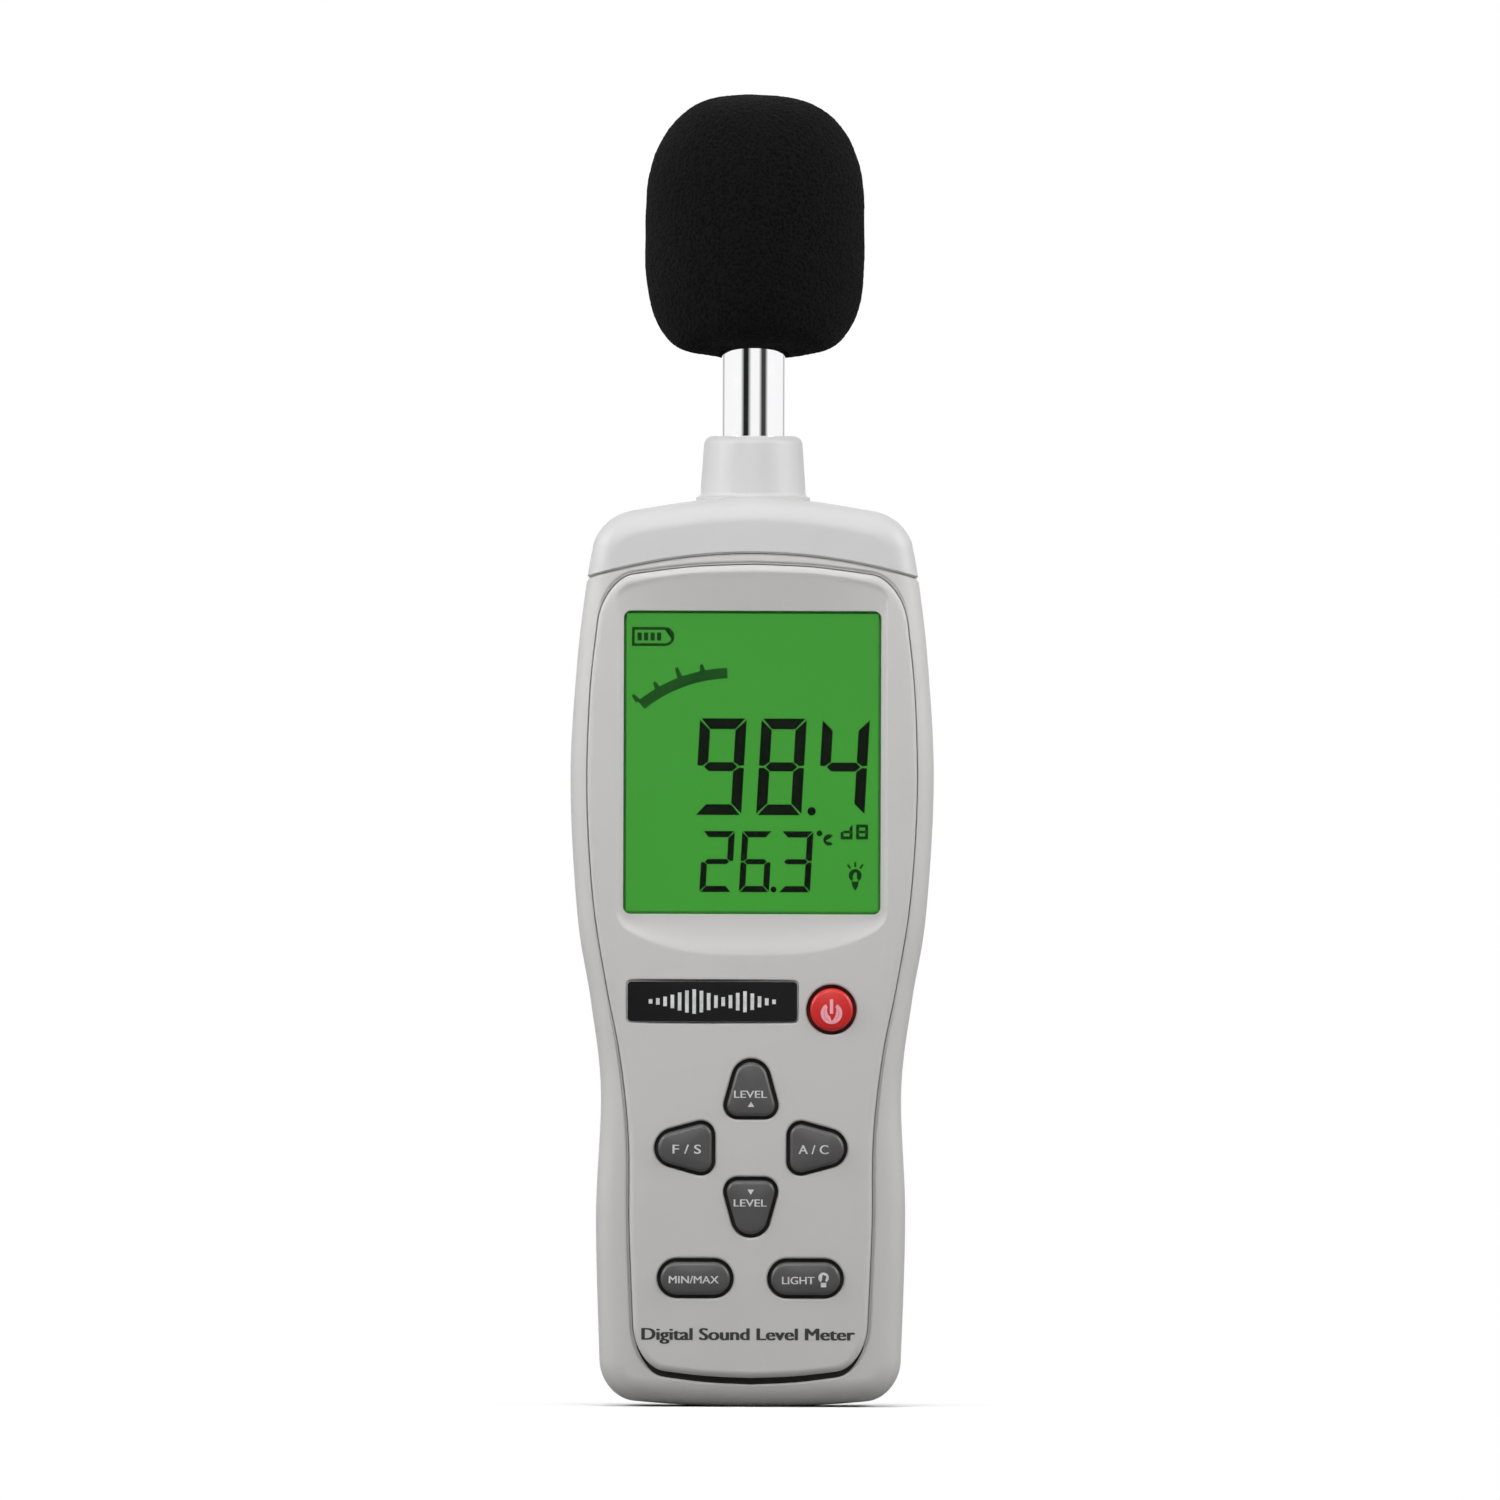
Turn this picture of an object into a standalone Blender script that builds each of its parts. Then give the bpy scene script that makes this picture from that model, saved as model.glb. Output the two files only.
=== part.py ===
"""Hand-held sound level meter, built as its separate parts.

Frame: +Z runs up the long axis, the display faces -Y, and the origin is the middle of the
bottom end, on the microphone's axis. Every size is in millimetres, and MM turns it into
Blender's metres. A piece that moves has its origin on its joint's axis.
"""

import math

import bmesh
import bpy
from mathutils import Matrix, Vector
from mathutils.geometry import convex_hull_2d, interpolate_bezier

MM = 0.001

# Fits
FIT = 0.3  # gap between two pieces that touch
SEAM_GAP = 0.4  # visible line between casings

# Case. FRONT and REAR are the y of its faces.
FRONT = -16.0
REAR = 18.0
GRIP_REAR = 16.0  # the rear face steps in behind the keys
GRIP_STEP_Z = (70.0, 83.0)
WALL = 2.4
EDGE = 5.0  # rounding where the sides meet the faces
INNER_FRONT = FRONT + WALL
SEAM_TOP = 170.3  # the top cap's seam on the centre line
SEAM_FALL = 0.0045  # how the seam falls away from the centre, per mm squared
SHOULDER_TOP = 181.9

# Front panel
PANEL_FACE = -17.4  # on the centre line
PANEL_BACK = -14.9
POCKET_FLOOR = -14.8
PANEL_GAP = 0.5
POCKET_DROP = 0.8  # how much wider the gap is under the panel's foot
POCKET_FOOT_Z = (5.3, 13.0)  # where that widening is full, and where it has gone
PANEL_EDGE = 1.4  # rounding all round the panel
CROWN_FALL = 1.2  # how far the face falls back from the centre line to CROWN_REACH
CROWN_REACH = 27.0
CROWN_CUTS = (-27, -24, -20.5, -17, -13, -8, 0, 8, 13, 17, 20.5, 24, 27)
WINDOW = (25.7, 98.4, 159.0)  # half width, bottom, top
SCOOP_FLOOR = (-15.65, 25.9, 97.6, 158.9, 0.0, 0.0)  # y, half width, bottom, top, rise, fall
SCOOP_SIDES = (  # the same, with y taken from the crowned face's middle
    (-17.1, 26.7, 91.5, 165.6, 5.4, 2.8),
    (-17.3, 27.0, 90.6, 166.4, 6.1, 3.1),
    (-17.42, 27.3, 89.8, 166.9, 6.6, 3.3),
    (-25.0, 27.3, 89.8, 166.9, 6.6, 3.3),
)
SCOOP_CORNER = 1.8
PLATE_SIZE = (16.9, 77.0, 84.9)
PLATE_X = -7.8

# Display stack, from the front
LENS = (27.2, 96.8, 160.6)
LENS_Y = (-14.75, -13.55)
LCD_Y = (-13.4, -11.4)
GUIDE_Y = (-11.2, -9.0)
FRAME_OUTER = (28.8, 95.2, 162.2)
FRAME_INNER = (27.3, 96.7, 160.7)

# Circuit board
PCB_Y = (-8.6, -7.0)
PCB_BACK = PCB_Y[1] + 0.1  # where a part soldered to the back starts
PCB_SCREWS = ((-24.0, 164.2), (24.0, 164.2), (-19.5, 19.2), (19.5, 19.2))
CASE_SCREWS = ((-26.0, 88.5), (26.0, 88.5), (-21.0, 12.0), (21.0, 12.0))
CAP_SCREWS = ((-20.0, 160.0), (20.0, 160.0))

# Keys. A key's outline is the hull of circles (x, z, radius) about its own centre.
KEY_GAP = 0.7
KEY_FACE = -18.3
KEY_FOOT = -10.4
KEY_FLANGE = (-13.4, -12.4)
KEY_FLANGE_GROW = 1.2
PAD_CENTRE = 51.7
PAD_REACH_Z = 11.8
PAD_REACH_X = 13.2
ROUND_KEY = ((0.0, 0.0, 4.3),)
LONG_KEY = ((-3.65, 0.0, 3.3), (3.65, 0.0, 3.3))
PETAL_KEY = ((-2.6, -3.2, 2.2), (2.6, -3.2, 2.2), (0.0, 2.1, 3.3))

# Microphone
TUBE_R = 6.35  # a half-inch tube
TUBE_BORE = 5.5
TUBE_Z = (167.0, 231.8)
NECK_TOP = 194.0
SOCKET_END = 172.0
FOAM_R = 22.0
FOAM_Z = (209.0, 236.0, 262.4)  # mouth, widest place and top
FOAM_BORE_TOP = 240.0
FOAM_POWERS = (2.7, 3.5)  # how square the outline is above and below its widest place

# Battery bay
DOOR = (16.0, 10.0, 68.0)  # half width, bottom, top
DOOR_THICK = 2.0
HINGE_Z = DOOR[1] - 0.15
BAY = (14.0, 12.2, 66.5)
BAY_FLOOR = -4.2
BAY_WALL = 1.4
BATTERY = (13.1, 13.5, 59.9)
BATTERY_Y = (-3.8, 13.2)

# Rear face
TRIPOD_Z = 100.0
INSERT_R = 4.5
LABEL = (22.0, 110.0, 150.0)
TRIMMER = Vector((27.1, -3.9, 134.0))  # where the rotor leaves its body

COLOURS = {  # rgb, roughness, metallic
    "shell_plastic": ((0.62, 0.62, 0.61), 0.45, 0.0),
    "cap_plastic": ((0.68, 0.68, 0.68), 0.42, 0.0),
    "key_rubber": ((0.11, 0.105, 0.105), 0.5, 0.0),
    "power_rubber": ((0.72, 0.04, 0.035), 0.4, 0.0),
    "foam": ((0.012, 0.012, 0.013), 1.0, 0.0),
    "chrome": ((0.85, 0.85, 0.86), 0.12, 1.0),
    "clear": ((0.9, 0.95, 0.9), 0.05, 0.0),
    "lcd_green": ((0.07, 0.3, 0.05), 0.25, 0.0),
    "white_plastic": ((0.8, 0.8, 0.78), 0.5, 0.0),
    "black_plastic": ((0.02, 0.02, 0.02), 0.5, 0.0),
    "board": ((0.02, 0.16, 0.06), 0.45, 0.0),
    "steel": ((0.6, 0.6, 0.61), 0.3, 1.0),
    "brass": ((0.75, 0.55, 0.22), 0.3, 1.0),
    "silicone": ((0.3, 0.3, 0.31), 0.7, 0.0),
    "blue_plastic": ((0.02, 0.1, 0.45), 0.4, 0.0),
    "battery_jacket": ((0.08, 0.09, 0.11), 0.35, 0.2),
    "red_wire": ((0.6, 0.02, 0.02), 0.5, 0.0),
    "label": ((0.75, 0.75, 0.74), 0.5, 0.0),
}


def material(name):
    """The named material, made once."""
    found = bpy.data.materials.get(name)
    if found:
        return found
    rgb, roughness, metallic = COLOURS[name]
    made = bpy.data.materials.new(name)
    made.use_nodes = True
    shader = made.node_tree.nodes["Principled BSDF"]
    shader.inputs["Base Color"].default_value = (*rgb, 1.0)
    shader.inputs["Roughness"].default_value = roughness
    shader.inputs["Metallic"].default_value = metallic
    return made


def collection(name):
    found = bpy.data.collections.get(name)
    if not found:
        found = bpy.data.collections.new(name)
        bpy.context.scene.collection.children.link(found)
    return found


def place(obj, finish):
    """Puts obj among the parts, or among the tool shapes that only cut and join."""
    if finish is None:
        collection("tool_shapes").objects.link(obj)
        obj.hide_render = True
        obj.display_type = "WIRE"
        return obj
    collection("sound_level_meter").objects.link(obj)
    obj.data.materials.append(material(finish))
    return obj


def from_bmesh(name, bm, finish, at=(0, 0, 0)):
    """An object from a bmesh in millimetres about the point `at`."""
    bmesh.ops.recalc_face_normals(bm, faces=bm.faces)
    bmesh.ops.scale(bm, vec=(MM, MM, MM), verts=bm.verts)
    mesh = bpy.data.meshes.new(name)
    bm.to_mesh(mesh)
    bm.free()
    obj = bpy.data.objects.new(name, mesh)
    obj.location = Vector(at) * MM
    return place(obj, finish)


def box(name, x, y, z, finish=None, at=(0, 0, 0)):
    """A box from ranges along each axis, about the point `at`."""
    low, high = Vector((x[0], y[0], z[0])), Vector((x[1], y[1], z[1]))
    bm = bmesh.new()
    bmesh.ops.create_cube(bm, size=1)
    bmesh.ops.scale(bm, vec=high - low, verts=bm.verts)
    bmesh.ops.translate(bm, vec=(low + high) / 2, verts=bm.verts)
    return from_bmesh(name, bm, finish, at)


def rod(name, radius, length, axis="Z", finish=None, at=(0, 0, 0), sides=20):
    """A cylinder that starts at `at` and runs along the positive axis."""
    bm = bmesh.new()
    bmesh.ops.create_cone(
        bm, cap_ends=True, segments=sides, radius1=radius, radius2=radius, depth=length
    )
    bmesh.ops.translate(bm, vec=(0, 0, length / 2), verts=bm.verts)
    turn = {"X": Matrix.Rotation(math.radians(90), 3, "Y"), "Y": Matrix.Rotation(math.radians(-90), 3, "X")}
    if axis in turn:
        bmesh.ops.rotate(bm, matrix=turn[axis], verts=bm.verts)
    return from_bmesh(name, bm, finish, at)


def turned(name, profile, finish=None, at=(0, 0, 0), axis="Z", steps=24, ring=False):
    """A turned shape. The profile is (radius, height) down the outer side.

    A ring's profile closes on itself.
    """
    bm = bmesh.new()
    points = [bm.verts.new((r, 0, h)) for r, h in profile]
    for a, b in zip(points, points[1:] + (points[:1] if ring else [])):
        bm.edges.new((a, b))
    obj = from_bmesh(name, bm, finish, at)
    screw = obj.modifiers.new("Turn", "SCREW")
    screw.steps = screw.render_steps = steps
    screw.use_merge_vertices = True
    screw.merge_threshold = 0.00001
    screw.use_smooth_shade = True
    if axis == "Y":
        obj.rotation_euler = (math.radians(-90), 0, 0)
    return obj


def prism(name, outline, y, finish=None, at=(0, 0, 0), front_round=0.0, back_round=0.0, segments=3):
    """An outline in x and z carried from y[0], its front, to y[1], its back, with rounded edges."""
    bm = bmesh.new()
    face = bm.faces.new([bm.verts.new((p.x, y[1], p.y)) for p in outline])
    grown = bmesh.ops.extrude_face_region(bm, geom=[face])["geom"]
    front = [v for v in grown if isinstance(v, bmesh.types.BMVert)]
    bmesh.ops.translate(bm, vec=(0, y[0] - y[1], 0), verts=front)
    for level, radius in ((y[0], front_round), (y[1], back_round)):
        if radius:
            edges = [e for e in bm.edges if all(abs(v.co.y - level) < 1e-4 for v in e.verts)]
            bmesh.ops.bevel(bm, geom=edges, offset=radius, segments=segments, profile=0.5, affect="EDGES")
    return from_bmesh(name, bm, finish, at)


def wire(name, points, radius, finish):
    """A round wire through points, with handles that keep it smooth."""
    data = bpy.data.curves.new(name, "CURVE")
    data.dimensions = "3D"
    spline = data.splines.new("POLY")
    path = smooth([Vector(p) for p in points], 3)
    spline.points.add(len(path) - 1)
    for place_, p in zip(spline.points, path):
        place_.co = (*(p * MM), 1)
    data.bevel_depth = radius * MM
    data.bevel_resolution = 1
    data.use_fill_caps = True
    return place(bpy.data.objects.new(name, data), finish)


def boolean(target, tool, operation):
    step = target.modifiers.new(operation.title() + " " + tool.name, "BOOLEAN")
    step.operation = operation
    step.object = tool
    return target


def cut(target, *tools):
    for tool in tools:
        boolean(target, tool, "DIFFERENCE")
    return target


def join(target, *tools):
    for tool in tools:
        boolean(target, tool, "UNION")
    return target


def smooth(points, steps):
    """A smooth path through points, as Bezier stretches whose handles follow the neighbours."""
    ends = [points[0]] + list(points) + [points[-1]]
    path = []
    for before, a, b, after in zip(ends, ends[1:], ends[2:], ends[3:]):
        path += interpolate_bezier(a, a + (b - before) / 6, b - (after - a) / 6, b, steps + 1)[:-1]
    return [Vector(p) for p in path] + [points[-1].copy()]


def corner(a, tip, b, steps=4):
    """A round corner from a to b, inside the square corner at tip."""
    curve = interpolate_bezier(a, a.lerp(tip, 0.56), b.lerp(tip, 0.56), b, steps + 1)
    return [Vector(p) for p in curve]


def both_sides(half):
    """A closed outline from its right half, which runs from bottom centre to top centre."""
    return half + [Vector((-p.x, p.y)) for p in reversed(half[1:-1])]


def grow(outline, amount):
    """The outline moved outwards by amount, or inwards where it is negative."""
    moved = []
    for before, p, after in zip(outline[-1:] + outline[:-1], outline, outline[1:] + outline[:1]):
        into, out = (p - before).normalized(), (after - p).normalized()
        bisector = Vector((into.y + out.y, -into.x - out.x)).normalized()
        moved.append(p + bisector * amount / max(0.5, bisector.dot(Vector((out.y, -out.x)))))
    return moved


def points_2d(*pairs):
    return [Vector(p) for p in pairs]


def rectangle(bounds, radius=0.0, steps=3):
    """A rectangle from (half width, bottom, top), with round corners."""
    half, bottom, top = bounds
    if not radius:
        return points_2d((-half, bottom), (half, bottom), (half, top), (-half, top))
    outline = []
    for k, (x, z) in enumerate(((half, bottom), (half, top), (-half, top), (-half, bottom))):
        centre = Vector((x - math.copysign(radius, x), z + (radius if z == bottom else -radius)))
        for i in range(steps + 1):
            a = math.radians(-90 + 90 * k + 90 * i / steps)
            outline.append(centre + Vector((math.cos(a), math.sin(a))) * radius)
    return outline


def case_outline():
    bottom = [Vector((x, x * x / 480)) for x in (0, 8, 16)]
    foot = corner(Vector((23.0, 1.1)), Vector((29.6, 1.5)), Vector((30.1, 9.0)))
    side = smooth(
        points_2d(
            (30.1, 9.0), (30.9, 38.0), (30.0, 63.0), (32.1, 81.2), (34.8, 98.0),
            (36.3, 125.0), (35.0, 149.0), (33.2, 164.5), (32.0, 171.5),
        ),
        2,
    )
    shoulder = corner(Vector((32.0, 171.5)), Vector((31.2, 177.9)), Vector((24.0, 179.0)))
    top = points_2d((12.0, 180.9), (0.0, SHOULDER_TOP))
    return both_sides(bottom + foot[:-1] + side[:-1] + shoulder + top)


def panel_outline():
    bottom = points_2d((0.0, 5.8), (9.0, 6.2))
    foot = corner(Vector((17.0, 7.1)), Vector((22.8, 7.7)), Vector((23.4, 16.0)))
    side = smooth(
        points_2d(
            (23.4, 16.0), (24.2, 36.0), (24.4, 54.0), (26.2, 70.2), (28.9, 84.0),
            (31.6, 101.0), (32.9, 122.0), (32.4, 142.0), (31.0, 156.0),
        ),
        2,
    )
    shoulder = corner(Vector((31.0, 156.0)), Vector((30.2, 165.0)), Vector((24.0, 166.2)))
    top = points_2d((12.0, 167.7), (0.0, 168.2))
    return both_sides(bottom + foot[:-1] + side[:-1] + shoulder + top)


def pocket_outline():
    """Where the panel sits: its outline and a gap, which widens below its foot."""
    low, high = POCKET_FOOT_Z
    outline = grow(panel_outline(), PANEL_GAP)
    for p in outline:
        p.y -= POCKET_DROP * min(1, max(0, (high - p.y) / (high - low)))
    return outline


def seam(x, lift=0.0):
    return SEAM_TOP + lift - SEAM_FALL * x * x


def seam_side(name, above):
    """All space above or below the top cap's seam and the gap there, as a tool shape."""
    reach, far = 40.0, 210.0 if above else -10.0
    lift = -SEAM_GAP / 2 if above else SEAM_GAP / 2
    edge = [Vector((x, seam(x, lift))) for x in range(-40, 41, 5)]
    outline = edge + points_2d((reach, far), (-reach, far))
    return prism(name, outline, (-30, 30))


def bend_rear(obj):
    """Draws the rear face in behind the keys, over the grip step."""
    low, high = GRIP_STEP_Z
    bm = bmesh.new()
    bm.from_mesh(obj.data)
    for i in range(7):
        level = (low + (high - low) * i / 6) * MM
        everything = bm.verts[:] + bm.edges[:] + bm.faces[:]
        bmesh.ops.bisect_plane(bm, geom=everything, plane_co=(0, 0, level), plane_no=(0, 0, 1))
    for v in bm.verts:
        if v.co.y > 0:
            t = min(1, max(0, (v.co.z / MM - low) / (high - low)))
            share = t * t * (3 - 2 * t)
            v.co.y *= (GRIP_REAR + (REAR - GRIP_REAR) * share) / REAR
    bm.to_mesh(obj.data)
    bm.free()
    return obj


def case_blank(name, finish=None):
    """The whole case, cap and shells in one, as a solid block."""
    return bend_rear(prism(name, case_outline(), (FRONT, REAR), finish, front_round=EDGE, back_round=EDGE))


def case_cavity(name):
    """What the case holds inside its wall."""
    inner = grow(case_outline(), -WALL)
    edge = EDGE - WALL
    return bend_rear(prism(name, inner, (INNER_FRONT, REAR - WALL), None, front_round=edge, back_round=edge))


def key_outline(circles, amount=0.0, sides=20):
    """The hull of a key's circles, all grown by amount."""
    samples = [
        (x + (r + amount) * math.cos(a), z + (r + amount) * math.sin(a))
        for x, z, r in circles
        for a in (2 * math.pi * i / sides for i in range(sides))
    ]
    return [Vector(samples[i]) for i in convex_hull_2d(samples)]


def turned_circles(circles, quarter_turns):
    """A key's circles turned anticlockwise about its centre."""
    for _ in range(quarter_turns):
        circles = tuple((-z, x, r) for x, z, r in circles)
    return circles


KEYS = {  # name: (circles, x, z)
    "power": (ROUND_KEY, 16.0, 79.4),
    "level_up": (PETAL_KEY, 0.0, PAD_CENTRE + PAD_REACH_Z),
    "time_weighting": (turned_circles(PETAL_KEY, 1), -PAD_REACH_X, PAD_CENTRE),
    "level_down": (turned_circles(PETAL_KEY, 2), 0.0, PAD_CENTRE - PAD_REACH_Z),
    "frequency_weighting": (turned_circles(PETAL_KEY, 3), PAD_REACH_X, PAD_CENTRE),
    "min_max": (LONG_KEY, -11.0, 25.7),
    "light": (LONG_KEY, 11.0, 25.7),
}


def key_holes(name):
    """One tool shape for each key's opening through the panel and the shell."""
    return [
        prism(f"{name}_{key}", key_outline(circles, KEY_GAP, 16), (-20, -12), at=(x, 0, z))
        for key, (circles, x, z) in KEYS.items()
    ]


def crown_fall(x):
    return CROWN_FALL * min(1, abs(x) / CROWN_REACH) ** 3


def crowned(obj):
    """Bends a flat shape to the panel's crowned face, which falls back to either side."""
    bm = bmesh.new()
    bm.from_mesh(obj.data)
    for x in CROWN_CUTS:
        everything = bm.verts[:] + bm.edges[:] + bm.faces[:]
        plane = ((x - obj.location.x / MM) * MM, 0, 0)
        bmesh.ops.bisect_plane(bm, geom=everything, plane_co=plane, plane_no=(1, 0, 0))
    back = PANEL_BACK * MM
    for v in bm.verts:
        fall = crown_fall((v.co.x + obj.location.x) / MM)
        v.co.y = back + (v.co.y - back) * (1 - fall / (PANEL_BACK - PANEL_FACE))
    bm.to_mesh(obj.data)
    bm.free()
    return obj


def scoop_outline(half, bottom, top, rise, fall):
    """A rectangle whose lower edge rises, and whose upper edge falls, towards its ends."""
    corners = rectangle((half, bottom, top), SCOOP_CORNER)
    across = [x for x in CROWN_CUTS if abs(x) < half - SCOOP_CORNER]
    upper = [Vector((x, top)) for x in reversed(across)]
    lower = [Vector((x, bottom)) for x in across]
    outline = corners[: len(corners) // 2] + upper + corners[len(corners) // 2 :] + lower
    for p in outline:
        share = (abs(p.x) / half) ** 3
        p.y += rise * share if p.y < (bottom + top) / 2 else -fall * share
    return outline


def window_scoop():
    """The hollow in front of the window, whose ramps run out to the crowned face round it."""
    floor_y, *bounds = SCOOP_FLOOR
    bm = bmesh.new()
    rings = [[bm.verts.new((p.x, floor_y, p.y)) for p in scoop_outline(*bounds)]]
    for y, *bounds in SCOOP_SIDES:
        rings.append([bm.verts.new((p.x, y + crown_fall(p.x), p.y)) for p in scoop_outline(*bounds)])
    for back, front in zip(rings, rings[1:]):
        for i, j in zip(range(len(back)), (*range(1, len(back)), 0)):
            bm.faces.new((back[i], back[j], front[j], front[i]))
    bm.faces.new(rings[0])
    bm.faces.new(rings[-1])
    return from_bmesh("scoop", bm, None)


def make_front_shell():
    shell = case_blank("front_shell", "shell_plastic")
    cut(shell, case_cavity("front_cavity"))
    cut(shell, box("rear_half", (-50, 50), (-SEAM_GAP / 2, 30), (-10, 210)))
    cut(shell, seam_side("front_above_seam", True))
    cut(shell, prism("pocket", pocket_outline(), (-20, POCKET_FLOOR)))
    for x, z in CASE_SCREWS:
        post = rod(f"post_{x:.0f}_{z:.0f}", 3.0, 11.6, "Y", at=(x, INNER_FRONT - 0.4, z), sides=12)
        join(shell, post)
        cut(shell, rod(f"pilot_{x:.0f}_{z:.0f}", 1.6, 12, "Y", at=(x, -11, z), sides=12))
    for x, z in PCB_SCREWS:
        length = PCB_Y[0] - FIT - INNER_FRONT
        foot = (x, INNER_FRONT - 0.4, z)
        join(shell, rod(f"standoff_{x:.0f}_{z:.0f}", 1.8, length + 0.4, "Y", at=foot, sides=10))
        cut(shell, rod(f"thread_{x:.0f}_{z:.0f}", 1.0, 6, "Y", at=(x, INNER_FRONT + 0.8, z), sides=10))
    opening = rectangle(tuple(a + b for a, b in zip(LENS, (0.4, -0.4, 0.4))))
    cut(shell, prism("lens_opening", opening, (-20, -12)), *key_holes("floor"))
    cut(shell, rod("trimmer_hole", 2.0, 12, "X", at=(TRIMMER.x + 2.5, TRIMMER.y, TRIMMER.z), sides=16))


def make_rear_shell():
    shell = case_blank("rear_shell", "shell_plastic")
    cut(shell, case_cavity("rear_cavity"))
    cut(shell, box("front_half", (-50, 50), (-30, SEAM_GAP / 2), (-10, 210)))
    cut(shell, seam_side("rear_above_seam", True))
    half, bottom, top = BAY
    wall = BAY_WALL + 2.1
    block_y, block_z = (BAY_FLOOR - BAY_WALL, 14.5), (bottom - wall, top + 3)
    join(shell, box("bay_block", (-half - wall, half + wall), block_y, block_z))
    cut(shell, box("bay_hollow", (-half, half), (BAY_FLOOR, 20), (bottom, top)))
    cut(shell, box("wire_notch", (-4, 4), (BAY_FLOOR, 2), (top - 1, top + 5)))
    half, bottom, top = DOOR
    recess = GRIP_REAR - DOOR_THICK - FIT
    cut(shell, box("door_recess", (-half - FIT, half + FIT), (recess, 20), (bottom - FIT, top + FIT)))
    for x in (-9.0, 9.0):
        cut(shell, box(f"hook_slot_{x:.0f}", (x - 3, x + 3), (11.4, recess + 0.1), (7.4, 13)))
    for x, z in CASE_SCREWS:
        face = GRIP_REAR if z < GRIP_STEP_Z[0] else REAR
        join(shell, rod(f"screw_post_{x:.0f}_{z:.0f}", 3.4, face - 1.5, "Y", at=(x, 0.3, z), sides=12))
        cut(shell, rod(f"head_well_{x:.0f}_{z:.0f}", 2.5, 12, "Y", at=(x, face - 6, z), sides=16))
        cut(shell, rod(f"shank_way_{x:.0f}_{z:.0f}", 1.7, 30, "Y", at=(x, -2, z), sides=12))
    for x, z in CAP_SCREWS:
        cut(shell, rod(f"cap_well_{x:.0f}", 2.5, 6, "Y", at=(x, REAR - 1.3, z), sides=16))
        cut(shell, rod(f"cap_way_{x:.0f}", 1.4, 12, "Y", at=(x, 12, z), sides=12))
    join(shell, rod("tripod_boss", INSERT_R + 2, 9.5, "Y", at=(0, 7.5, TRIPOD_Z), sides=20))
    cut(shell, rod("tripod_way", INSERT_R + 0.12, 20, "Y", at=(0, 8.7, TRIPOD_Z), sides=20))
    pocket = rectangle(tuple(a + b for a, b in zip(LABEL, (0.3, -0.3, 0.3))), 2.3)
    cut(shell, prism("label_pocket", pocket, (REAR - 0.5, 20)))


def make_top_cap():
    cap = case_blank("top_cap", "cap_plastic")
    cut(cap, case_cavity("cap_cavity"), seam_side("cap_below_seam", False))
    neck = [
        (0, NECK_TOP), (8.0, NECK_TOP), (9.2, NECK_TOP - 0.6), (9.85, NECK_TOP - 2.0),
        (10.5, 182.9), (11.3, 181.6), (11.3, 179.8), (8.8, 179.3), (8.8, SOCKET_END), (0, SOCKET_END),
    ]
    join(cap, turned("neck", neck))
    for x, _ in CAP_SCREWS:
        join(cap, box(f"tab_root_{x:.0f}", (x - 4, x + 4), (12.3, 16.4), (169.4, 174)))
        join(cap, box(f"tab_{x:.0f}", (x - 4, x + 4), (12.3, 15.3), (156, 172)))
        cut(cap, rod(f"tab_thread_{x:.0f}", 1.1, 8, "Y", at=(x, 11, 160), sides=12))
    join(cap, box("lip_root", (-16, 16), (-14.5, -11.3), (171.4, 174)))
    join(cap, box("lip", (-16, 16), (-13.3, -11.3), (165.5, 173)))
    cut(cap, rod("mic_way", TUBE_R + FIT, 40, "Z", at=(0, 0, 160), sides=24))


def make_front_panel():
    outline = panel_outline()
    panel = prism("front_panel", outline, (PANEL_FACE, PANEL_BACK), "shell_plastic", front_round=PANEL_EDGE)
    crowned(panel)
    cut(panel, window_scoop())
    cut(panel, prism("window", rectangle(WINDOW, 1.5), (-20, -12)), *key_holes("panel"))
    recess = rectangle(tuple(a + b for a, b in zip(PLATE_SIZE, (FIT, -FIT, FIT))))
    cut(panel, crowned(prism("plate_recess", recess, (-22, PANEL_FACE + 0.4), at=(PLATE_X, 0, 0))))
    thickness = (PANEL_FACE - 0.1, PANEL_FACE + 0.25)
    crowned(prism("name_plate", rectangle(PLATE_SIZE), thickness, "label", (PLATE_X, 0, 0)))


def make_display():
    prism("display_lens", rectangle(LENS, 1.0), LENS_Y, "clear")
    prism("lcd_glass", rectangle((27.0, 97.0, 160.4)), LCD_Y, "lcd_green")
    prism("light_guide", rectangle((26.8, 100.9, 157.6)), GUIDE_Y, "white_plastic")
    frame_y = (INNER_FRONT + FIT, PCB_Y[0] - 0.15)
    frame = prism("lcd_frame", rectangle(FRAME_OUTER), frame_y, "white_plastic")
    cut(frame, prism("frame_hollow", rectangle(FRAME_INNER), (-20, 0)))
    box("zebra_strip", (-24, 24), (LCD_Y[1] + 0.1, PCB_Y[0] - 0.1), (97.4, 100.0), "silicone")
    box("backlight_led", (-3, 3), (-11.1, -8.8), (158.2, 160.3), "white_plastic")


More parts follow.
